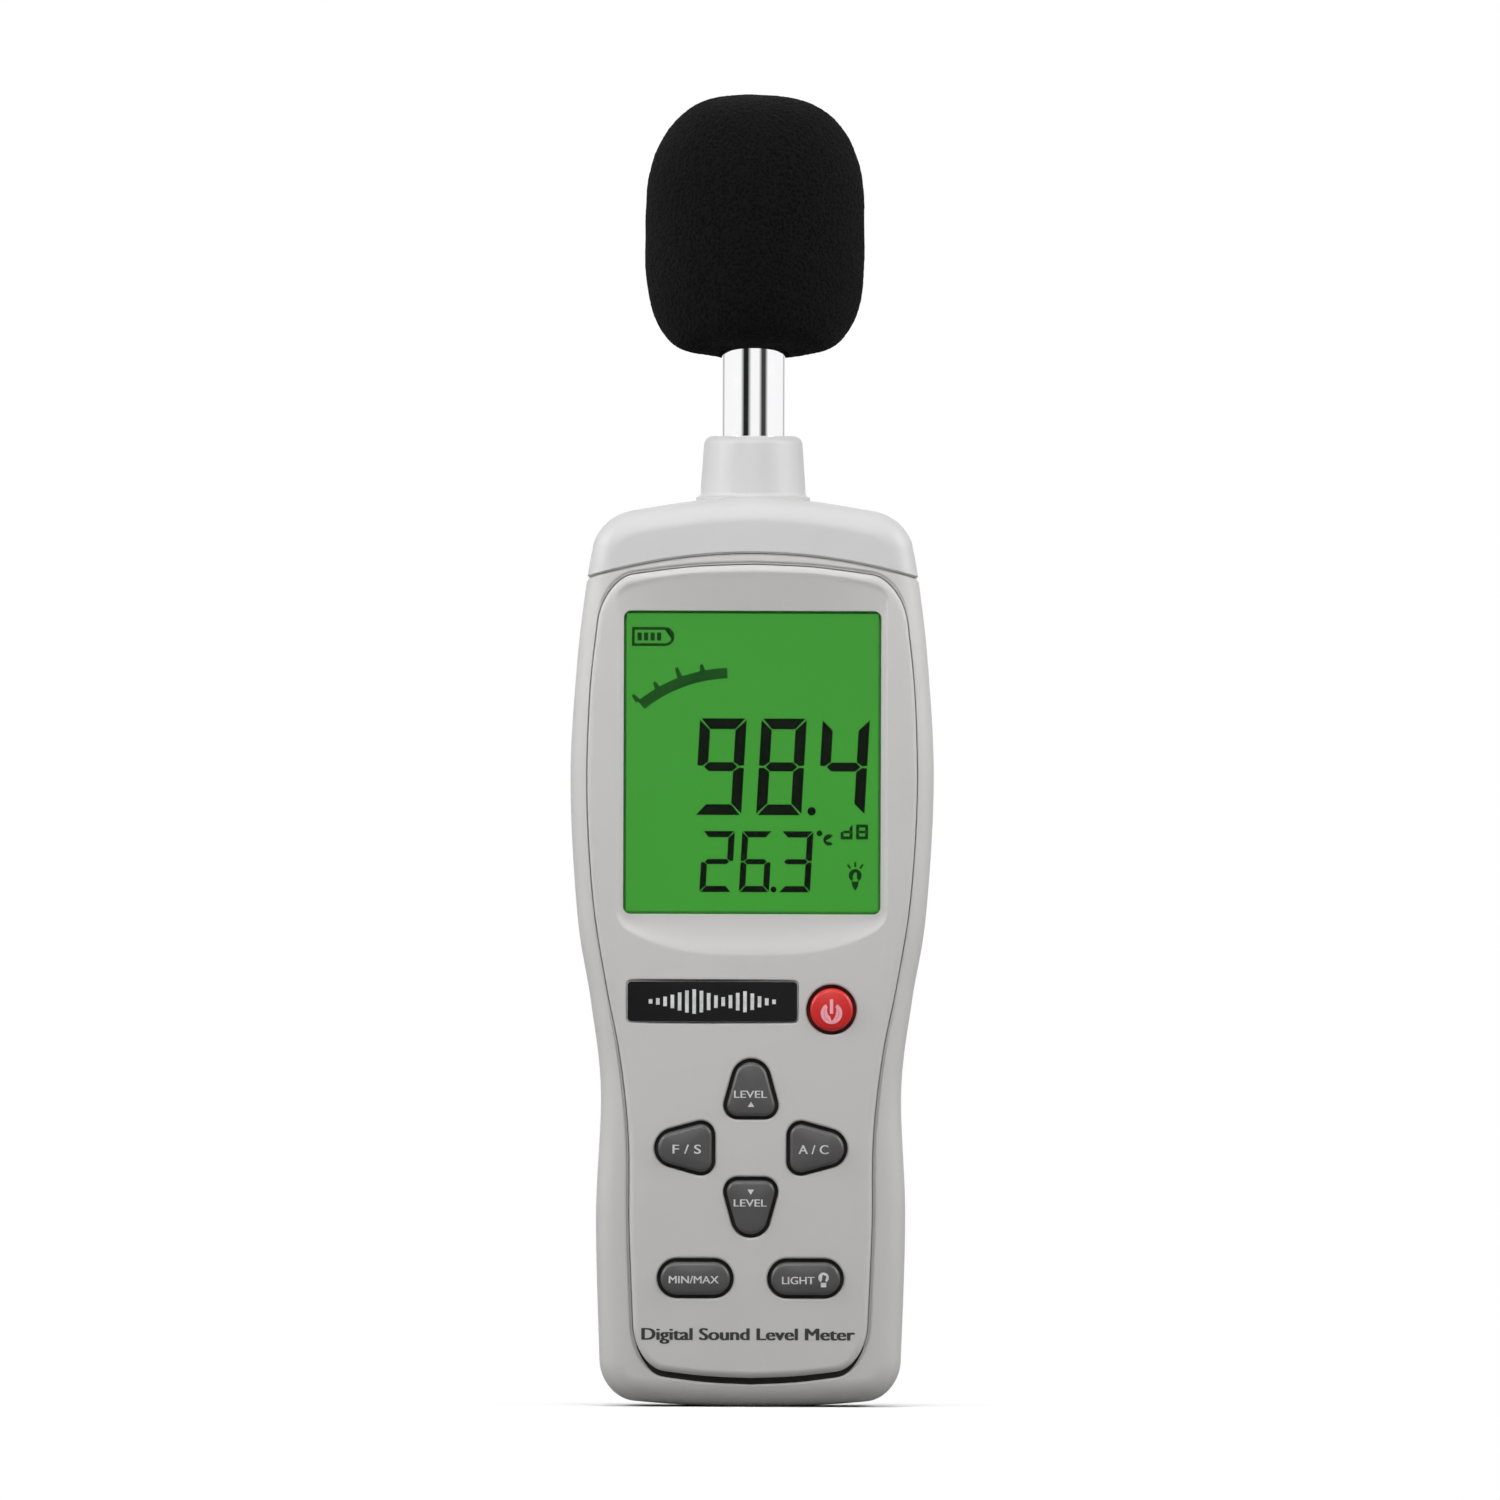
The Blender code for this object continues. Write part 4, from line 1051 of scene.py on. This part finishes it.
def dark_marks():
    """The display's readings: sound level above, temperature below."""
    marks = []
    for digit, left, width in (("9", -11.5, 10.4), ("8", 0.8, 10.1), ("4", 13.0, 10.5)):
        marks += seven_segments(left, 118.2, width, 19.3, 2.15, DIGITS[digit])
    marks.append(dot(11.9, 119.0, 0.85))
    for digit, left, width in (("2", -10.5, 7.1), ("6", -2.6, 6.7), ("3", 5.3, 7.0)):
        marks += seven_segments(left, 102.8, width, 12.2, 1.25, DIGITS[digit], gap=0.08)
    marks.append(dot(4.35, 103.35, 0.6))
    return marks


def faint_marks():
    """The display's units, dB and degrees C, and its two symbols."""
    marks = []
    for left, lit in ((17.7, "bcdeg"), (20.8, "abcdefg")):
        marks += seven_segments(left, 113.4, 2.4, 3.0, 0.62, lit, 0.0, 0.01)
    marks.append(arc_band(13.5, 114.6, 0.22, 0.6, 0, 355, 16))
    marks.append(arc_band(15.4, 113.3, 0.65, 1.15, 50, 310, 18))
    return marks + battery_mark(-24.1, 151.9) + bulb_mark(20.65, 105.6)


def battery_mark(x, z):
    width, height, line = 6.6, 3.8, 0.55
    marks = [
        bar(x, x + width, z, z + line), bar(x, x + width, z + height - line, z + height),
        bar(x, x + line, z + line, z + height - line),
        arc_band(x + width, z + height / 2, height / 2 - line, height / 2, -90, 90, 12),
    ]
    for i in range(4):
        left = x + 1.1 + 1.3 * i
        marks.append(bar(left, left + 0.85, z + 1.1, z + height - 1.1))
    return marks


def bulb_mark(x, z):
    neck, waist = z - 0.6, z - 1.6
    marks = [
        arc_band(x, z + 0.6, 0.62, 1.3, -60, 240, 20),
        points_2d((x - 0.75, neck), (x + 0.75, neck), (x + 0.55, waist), (x, z - 2.5), (x - 0.55, waist)),
    ]
    for degrees in (55, 90, 125):
        marks.append(ray(Vector((x, z + 0.6)), degrees, 1.7, 2.7, 0.2, 0.2))
    return marks


def scale_mark():
    """Part of the dial-like level bar, with its ticks on the outer side."""
    centre, inner, outer = Vector((-4.0, 117.6)), 27.9, 30.0
    marks = [arc_band(centre.x, centre.y, inner, outer, 92, 129, 28)]
    for degrees, length in ((129.0, 1.6), (120.0, 1.3), (110.5, 2.1), (101.5, 1.3)):
        marks.append(ray(centre, degrees, outer - 0.1, outer + length, 0.55, 0.3))
    return marks


def make_display():
    glass = plate_filling("lcd_glass_body", "lcd_glass", 0.4, front_round=0.15, steps=2)
    piece(glass, "case", LCD, "lcd_green", "lcd_glass")
    window = plate_filling("display_window", "display_lens", 1.0, front_round=0.25, steps=4)
    piece(window, "case", LENS, "clear", "display_lens")
    half, bottom, top = WINDOW
    # The darker green frame round the display's edges is painted shade from the window's walls.
    rim, reach = 0.55, 1.2
    edge_shade_lines = frame_lines(half + reach, bottom - reach, top + reach, rim + reach)
    for name, marks, ink, thick in (
        ("lcd_digits", dark_marks(), SEGMENT, 0.04),
        ("lcd_symbols", faint_marks(), FAINT_SEGMENT, 0.04),
        ("lcd_level_band", scale_mark(), BAND_SEGMENT, 0.04),
        ("lcd_painted_edge_shade", edge_shade_lines, LCD_EDGE_SHADE, 0.03),
    ):
        printed(name, marks, (face_of(glass), ink, "case", "lcd_green"), thick, 0.02)


# ---------------------------------------------------------------- keys


def key_cap(key, low, high, centre):
    """A key with a flange behind the panel, a round edge and a slightly domed top."""
    shape = key_outline(KEYS[key])
    wide = grow(shape, KEY_FLANGE_GROW)
    top = grow(shape, -KEY_EDGE)
    rim = low.y + KEY_DOME
    front, back = KEY_FLANGE
    rings = [level(shape, high.y)]
    rings += [level(ring, y) for ring, y in ((shape, back), (wide, back), (wide, front), (shape, front))]
    rings += [level(grow(shape, -c), rim + s) for c, s in quarter_round(KEY_EDGE, 7, 88)]
    for share in (0.9, 0.78, 0.64, 0.5, 0.36, 0.22, 0.08):
        rings.append(level([p * share for p in top], rim - KEY_DOME * (1 - share * share)))
    return loft(f"key_{key}_cap", rings, (centre.x, 0, centre.z))


def key_symbol(key, x, z):
    """The name and the outlines of the sign on a key, for those that have one."""
    if key == "power":
        ring = arc_band(x, z - 0.7, 1.45, 2.15, 122, 418, 32)
        return "standby", [ring, bar(x - 0.33, x + 0.33, z - 0.8, z + 2.1)]
    if key == "level_up":
        return "up", [points_2d((x - 0.65, z - 3.55), (x + 0.65, z - 3.55), (x, z - 2.5))]
    if key == "level_down":
        return "down", [points_2d((x - 0.65, z + 3.55), (x, z + 2.5), (x + 0.65, z + 3.55))]
    if key == "light":
        glass = arc_band(x + 3.6, z + 0.2, 0.62, 1.05, -58, 238, 16)
        return "lamp", [glass, bar(x + 3.05, x + 4.15, z - 1.7, z - 0.8)]
    return None, []


def make_keys():
    for key in KEYS:
        low, high = mm_box(f"key_{key}")
        centre = (low + high) / 2
        body, rubber, slot, ink = f"key_{key}", RUBBER, "key_rubber", LIGHT_PRINT
        if key == "power":
            rubber, slot, ink = RED_RUBBER, "power_rubber", PINK_PRINT
        cap = key_cap(key, low, high, centre)
        piece(cap, body, rubber, slot, body, angle=50, weighted=False)
        ground = (face_of(cap), ink, body, slot)
        if key in LEGENDS:
            text, size, dx, dz, width = LEGENDS[key]
            lettering(f"legend_{key}", text, size, centre.x + dx, centre.z + dz, width, ground, 0.04)
        sign, outlines = key_symbol(key, centre.x, centre.z)
        if sign:
            printed(f"mark_{sign}", outlines, ground)


def make_plate():
    """The plain plate, with a generic row of rising level bars."""
    low, high = mm_box("name_plate")
    half, middle = (high.x - low.x) / 2, (high.x + low.x) / 2
    outline = rectangle((half, low.z, high.z), 0.7, middle)
    y = (PANEL_FACE - 0.1, PANEL_FACE + 0.25)
    plate = crowned(in_strips(prism("name_plate_body", outline, y, front_round=0.08, steps=2)))
    piece(plate, "case", PLATE, "label", "name_plate", angle=40)
    heights = (0.9, 1.3, 1.9, 2.7, 3.6, 4.4, 4.9, 4.3, 3.4, 2.5, 1.8, 2.6, 3.5, 4.2, 3.3, 2.2, 1.4, 0.9)
    step, half_bar = 1.45, 0.36
    centre = (low.z + high.z) / 2
    marks = []
    for i, tall in enumerate(heights):
        x = middle + (i - (len(heights) - 1) / 2) * step
        marks.append(bar(x - half_bar, x + half_bar, centre - tall / 2, centre + tall / 2))
    printed("plate_level_bars", marks, (face_of(plate), LIGHT_PRINT, "case", "label"), 0.03)


def make_caption():
    ground = (face_of(bpy.data.objects["front_panel_body"]), DARK_PRINT, "case", "shell_plastic")
    lettering("panel_caption", "Digital Sound Level Meter", 2.4, -0.4, 14.6, 42.7, ground, 0.16)


# ---------------------------------------------------------------- microphone


def make_tube():
    low, high = mm_box("mic_tube")
    radius, lip = high.x, 0.25
    profile = [(radius, low.z), (radius, high.z - lip), (radius - lip, high.z)]
    profile += [(TUBE_BORE, high.z), (TUBE_BORE, low.z)]
    piece(turned("mic_tube_body", profile, sides=160, closed=True), "case", CHROME, "chrome", "mic_tube")


def make_grid():
    """The slotted cap over the microphone, with two grooves round it."""
    profile = [(0.01, 238.6), (5.4, 238.6), (6.0, 238.45), (6.35, 237.9)]
    profile += [(6.35, 232.1), (5.8, 232.1), (5.8, 237.4), (0.01, 237.4)]
    grid = turned("mic_grid_body", profile)
    slots = []
    for i in range(3):
        slot = box(f"slot_{i}", (-4.4, 4.4), (-0.45, 0.45), (236.9, 240))
        slot.rotation_euler.z = radians(60 * i)
        slots.append(slot)
    bpy.context.view_layer.update()
    cut(grid, *slots)
    grooves = []
    for z in (233.2, 236.4):
        ring = [(6.6, z), (6.2, z), (6.2, z + 0.22), (6.6, z + 0.22)]
        grooves.append(turned(f"groove_{z:.0f}", ring, closed=True))
    piece(cut(grid, *grooves), "case", STEEL, "steel", "mic_grid")


def foam_profile(mouth, top, radius):
    """(radius, height, looseness) from the top round to the end of the bore; only loose foam is uneven."""
    profile = []
    for a in angles(90, -75, 120):
        height, power = (top - FOAM_WIDEST_Z, 2.6) if a >= 0 else (FOAM_WIDEST_Z - mouth, 3.4)
        r = radius * max(1e-4, cos(a)) ** (2 / power)
        rise = copysign(height * abs(sin(a)) ** (2 / power), a)
        profile.append((r, FOAM_WIDEST_Z + rise, 1.0))
    last_r, last_z, _ = profile[-1]
    curl, floor = MIC_WAY + 1.0, mouth + 0.15
    for i in range(1, 13):
        share = i / 12
        r = last_r + (curl - last_r) * share
        profile.append((r, last_z + (floor - last_z) * eased(share), 1 - share))
    for a in angles(0, 90, 6)[1:]:
        profile.append((curl - sin(a), floor + 1.6 * (1 - cos(a)), 0.0))
    return profile + [(MIC_WAY, mouth + 6, 0.0), (MIC_WAY, FOAM_BORE_TOP, 0.0), (0.01, FOAM_BORE_TOP, 0.0)]


def foam_unevenness(p):
    """How far the foam's surface and its lean move a point."""
    rise = p.z - FOAM_WIDEST_Z
    out = Vector((p.x, p.y, rise * 0.7)).normalized()
    lumps = noise.noise(p * 0.07) * 0.3 + noise.noise(p * 0.25) * 0.1
    pores = abs(noise.noise(p * 1.7)) * 0.24 + noise.noise(p * 3.1) * 0.09
    lean = Vector((FOAM_ASIDE + rise * sin(FOAM_LEAN), 0, -p.x * sin(FOAM_LEAN)))
    return out * (lumps - pores) + lean


def foam_lift(p, above_mouth):
    """How far the mouth curls up at a point in front of the tube."""
    near = clamped((17.0 - abs(p.x)) / 9.0)
    front = clamped(0.5 - p.y / 16.0)
    fade = max(0.0, 1 - above_mouth / FOAM_ARCH_REACH)
    return FOAM_ARCH * front * eased(near) * fade


def make_windscreen():
    """The foam ball. Its outside leans a little and is uneven; its bore stays true to the tube."""
    low, high = mm_box("windscreen")
    mouth = low.z
    rings = []
    for r, z, loose in foam_profile(mouth, high.z, high.x):
        ring = [Vector((r * cos(a), r * sin(a), z)) for a in circle(360)]
        if loose:
            ring = [p + foam_unevenness(p) * loose for p in ring]
        if z < mouth + FOAM_ARCH_REACH:
            for p in ring:
                p.z += foam_lift(p, z - mouth)
        rings.append(ring)
    ball = loft("windscreen_foam", rings)
    piece(ball, "windscreen", FOAM, "foam", "windscreen", angle=80, weighted=False)


# ---------------------------------------------------------------- rear


def make_battery_door():
    _, high = mm_box("battery_door")
    face, hinge = GRIP_REAR, DOOR_HINGE_Z
    outline = rectangle((high.x, DOOR_BOTTOM, high.z), 1.2)
    door = prism("battery_door_body", outline, (face - DOOR_THICK, face), back_round=0.5, steps=5)
    parts = []
    for x in (-9.0, 9.0):
        width = (x - 2.5, x + 2.5)
        parts.append(box(f"hook_{x:.0f}", width, (face - 3.8, face - 1.5), (hinge + 0.4, hinge + 1.6)))
        parts.append(box(f"tip_{x:.0f}", width, (face - 3.8, face - 2.6), (hinge - 1.5, hinge + 1.0)))
    parts.append(box("latch", (-4, 4), (face - 4.6, face - 1.5), (hinge + 55.0, hinge + 56.2)))
    for i in range(3):
        z = hinge + 46.0 + 2.6 * i
        rib = rectangle((8 - i, z, z + 1.1), 0.5)
        parts.append(prism(f"rib_{i}", rib, (face - 0.5, face + 0.5), back_round=0.35, steps=4))
    join(door, *parts)
    arrow = points_2d((-3.0, 52.0), (3.0, 52.0), (0.0, 47.5))
    cut(door, prism("arrow", arrow, (face - 0.35, face + 2)))
    piece(door, "battery_door", CASE, "shell_plastic", "battery_door")


def rear_text(name, text, size, x, z, width, ground):
    """Text that reads from behind, raised towards +Y."""
    lay(name, text_shape(text, size, x, z, width, -1.0), ground, -0.04, -0.03)


def make_rear_label():
    low, high = mm_box("rear_label")
    label = plate_filling("rear_label_body", "rear_label", 2.0, back_round=0.08, steps=2)
    piece(label, "case", FOIL, "label", "rear_label")
    ground = (flat_face(high.y), DARK_PRINT, "case", "label")
    marks = frame_lines(20.6, low.z + 1.4, high.z - 1.4, 0.25)
    for z in (138.5, 131.5, 124.5):
        marks.append(bar(-18.5, 18.5, z, z + 0.2))
    for i in range(13):
        x = -15.0 + 2.5 * i
        marks.append(bar(x - 0.12, x + 0.12, 118.6, 121.0 if i % 3 else 122.4))
    marks.append(bar(-15.1, 15.1, 118.3, 118.6))
    printed("rear_label_lines", marks, ground, -0.04, -0.03)
    rear_text("rear_label_title", "SOUND LEVEL METER", 2.3, 0, 142.8, 33.0, ground)
    rear_text("rear_label_range", "30 - 130 dB", 2.0, 0, 135.0, 17.0, ground)
    rear_text("rear_label_battery", "9 V", 2.0, 0, 128.2, 4.6, ground)
    for i, number in enumerate(("30", "60", "90", "120")):
        rear_text(f"rear_label_{number}", number, 1.4, 11.3 - 7.5 * i, 115.4, 1.1 * len(number), ground)


def make_screw(cad_node, head, shank, turn):
    """A screw with a domed, cross-cut head, turned by so many degrees, and a thread."""
    low, high = mm_box(cad_node)
    centre = (low + high) / 2
    radius = (high.x - low.x) / 2
    length = high.y - low.y
    profile = [(0.01, 0), (radius * 0.45, -0.03), (radius * 0.8, -0.14), (radius * 0.95, -0.32)]
    profile += [(radius, -0.55), (radius, -head), (shank, -head)]
    pitch = 0.5
    for k in range(int((length - head - 1.2) / pitch)):
        y = -head - 0.3 - pitch * k
        profile += [(shank, y), (shank * 0.82, y - pitch / 2)]
    profile += [(shank * 0.5, 0.5 - length), (0.01, -length)]
    top = Vector((centre.x, high.y, centre.z))
    screw = turned(f"{cad_node}_body", profile, top, "Y", 64)
    arm, depth = radius * 0.6, head * 0.55
    cross = []
    for k in range(2):
        blade = box(f"cross_{k}", (-arm, arm), (-depth, 1), (-0.3, 0.3))
        turned_by = Matrix.Rotation(radians(turn) + radians(90 * k), 4, "Y")
        blade.matrix_world = Matrix.Translation(top * MM) @ turned_by
        cross.append(blade)
    bpy.context.view_layer.update()
    piece(cut(screw, *cross), "case", STEEL, "steel", cad_node)


def make_fixings():
    """The screws, and the tripod's threaded insert."""
    for kind, count, head, shank in (("case_screw", 4, 1.6, 1.3), ("cap_screw", 2, 1.0, 0.9)):
        for i in range(1, count + 1):
            make_screw(f"{kind}_{i}", head, shank, 25 + 47 * i)
    low, high = mm_box("tripod_insert")
    bore, depth, pitch = 2.6, high.y - low.y, 1.0
    profile = [(INSERT_R, 0), (INSERT_R, depth - 0.2), (INSERT_R - 0.2, depth), (bore + 0.6, depth)]
    y = depth - 0.6
    for _ in range(int(depth / pitch) - 1):
        profile += [(bore, y), (bore + 0.5, y - pitch / 2)]
        y -= pitch
    profile.append((bore, 0))
    insert = turned("tripod_insert_body", profile, (0, low.y, TRIPOD_Z), "Y", closed=True)
    piece(insert, "case", BRASS, "brass", "tripod_insert")


def make_battery():
    low, high = mm_box("battery")
    middle = (low.y + high.y) / 2
    body_top = 59.9
    outline = rectangle((high.x, low.z, body_top), 0.6)
    block = prism("battery_block", outline, (low.y, high.y), front_round=0.8, back_round=0.8, steps=4)
    plus = rod("plus", 2.9, 3.0, "Z", (-6.35, middle, body_top - 0.5))
    minus = rod("minus", 3.9, 3.0, "Z", (6.35, middle, body_top - 0.5))
    piece(join(block, plus, minus), "case", JACKET, "battery_jacket", "battery")
    face = flat_face(high.y)
    band = [bar(-high.x + 0.9, high.x - 0.9, low.z + 30, low.z + 45)]
    printed("battery_band", band, (face, JACKET_BAND, "case", "battery_jacket"), -0.05, -0.03)
    rear_text("battery_rating", "9 V", 8.0, 0, 32.0, 15.0, (face, LIGHT_PRINT, "case", "battery_jacket"))


# ---------------------------------------------------------------- the rest


CAD_FINISHES = {
    "zebra_strip": SILICONE, "keypad_mat": SILICONE, "battery_pad": BLACK, "light_guide": WHITE,
    "lcd_frame": WHITE, "backlight_led": WHITE, "mic_connector": WHITE, "main_pcb": BOARD,
    "preamp_pcb": BOARD, "mcu_chip": BLACK, "amp_chip": BLACK, "capacitor": BLACK, "thermistor": BLACK,
    "battery_snap": BLACK, "mic_cable": BLACK_WIRE, "battery_wire_black": BLACK_WIRE,
    "battery_wire_red": RED_WIRE, "crystal": STEEL, "mic_capsule": STEEL, "mic_nut": BRASS,
    "trimmer_body": BLUE, "trimmer_rotor": BRASS,
}


def dress_cad_nodes():
    """Materials and smooth shading for the CAD nodes that stay."""
    for name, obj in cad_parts.items():
        finish = CAD_FINISHES.get(name)
        if name.startswith("pill_"):
            finish = BLACK
        elif name.startswith("pcb_screw"):
            finish = STEEL
        if finish:
            dress(obj, finish, 35)


def floor_material():
    """Pale, and fading to the backdrop's white a little way off."""
    made, tree, shader = new_material("pale_floor")
    far = node(tree, "VectorMath", {0: place_in(tree)}, operation="LENGTH")
    fade = remap(tree, far.outputs["Value"], 0.0, 1.0, 0.03, 0.055)
    seen = node(tree, "LightPath").outputs["Is Camera Ray"]
    speckle = remap(tree, noise_of(tree, 900.0, 3.0), 0.0, 1.0)
    pale = blend_colours(tree, speckle, (0.93, 0.93, 0.93), (0.97, 0.97, 0.97))
    feed(shader, {"Roughness": 0.9, "Base Color": blend_colours(tree, seen, (0.3, 0.3, 0.3), pale)})
    glow = node(tree, "Emission", {"Color": (1, 1, 1)}).outputs["Emission"]
    share = maths(tree, "MULTIPLY", fade, seen)
    mix = node(tree, "MixShader", {0: share, 1: shader.outputs["BSDF"], 2: glow})
    feed(tree.nodes["Material Output"], {"Surface": mix.outputs["Shader"]})
    return made


def flag_material(value, half_width):
    """A tone that only a reflection shows, fading to white at the flag's sides."""
    made, tree, shader = new_material(f"flag_{value}")
    aside = maths(tree, "ABSOLUTE", along(tree, "X"))
    feed(shader, {
        "Base Color": (0, 0, 0),
        "Specular IOR Level": 0.0,
        "Emission Color": (1, 1, 1),
        "Emission Strength": remap(tree, aside, value, 1.0, half_width * 0.35, half_width),
    })
    return made


def make_stage():
    """The floor, and upright flags that give the chrome its dark and pale bands."""
    bm = bmesh.new()
    bmesh.ops.create_grid(bm, x_segments=1, y_segments=1, size=6000)
    floor = object_from("floor", bm)
    floor.data.materials.append(floor_material())
    for turn, width, value in (
        (-27.4, 460.0, 0.015), (36.7, 410.0, 0.05), (-140.0, 270.0, 0.5), (144.0, 270.0, 0.5),
    ):
        flag = box(f"flag_{turn:.0f}", (-width / 2, width / 2), (-2, 2), (20, 900))
        flag.data.materials.append(flag_material(value, width / 2 * MM))
        a = radians(turn)
        flag.location = Vector((sin(a), -cos(a), 0)) * FLAG_DISTANCE
        flag.rotation_euler.z = a
        for kind in ("camera", "diffuse", "transmission", "volume_scatter", "shadow"):
            setattr(flag, f"visible_{kind}", False)


def make_lights():
    world = bpy.data.worlds.new("studio")
    bpy.context.scene.world = world
    world.use_nodes = True
    tree = world.node_tree
    seen = node(tree, "LightPath").outputs
    strength = maths(tree, "MAXIMUM", seen["Is Camera Ray"], seen["Is Glossy Ray"])
    feed(tree.nodes["Background"], {"Color": (1, 1, 1), "Strength": strength})
    for name, at, size, power in (
        ("top_light", (0, -160, 620), 300.0, 0.42),
        ("front_light", (-60, -460, 400), 260.0, 1.3),
        ("left_light", (-560, -180, 420), 380.0, 3.1),
        ("right_light", (560, -180, 420), 380.0, 3.2),
        ("back_light", (0, 640, 260), 420.0, 3.2),
    ):
        data = bpy.data.lights.new(name, "AREA")
        data.size = size * MM
        data.energy = power
        lamp = add_object(name, data)
        lamp.location = Vector(at) * MM
        lamp.rotation_euler = (Vector((0, 0, 150)) - Vector(at)).to_track_quat("-Z", "Y").to_euler()
        lamp.visible_glossy = name != "back_light"


def make_camera():
    data = bpy.data.cameras.new("camera")
    data.sensor_width = 36.0
    data.lens = data.sensor_width * CAMERA_BACK / FRAME_WIDTH
    data.clip_end = 100.0
    camera = add_object("camera", data)
    camera.location = Vector((CAMERA_X, FRAME_Y - CAMERA_BACK, CAMERA_Z)) * MM
    camera.rotation_euler = (radians(90), radians(CAMERA_ROLL), 0)
    bpy.context.scene.camera = camera


bpy.context.scene.view_settings.view_transform = "Standard"
make_front_shell()
make_rear_shell()
make_top_cap()
make_front_panel()
make_panel_foot_shade()
make_display()
make_keys()
make_plate()
make_caption()
make_tube()
make_grid()
make_windscreen()
make_battery_door()
make_rear_label()
make_fixings()
make_battery()
dress_cad_nodes()
make_stage()
make_lights()
make_camera()
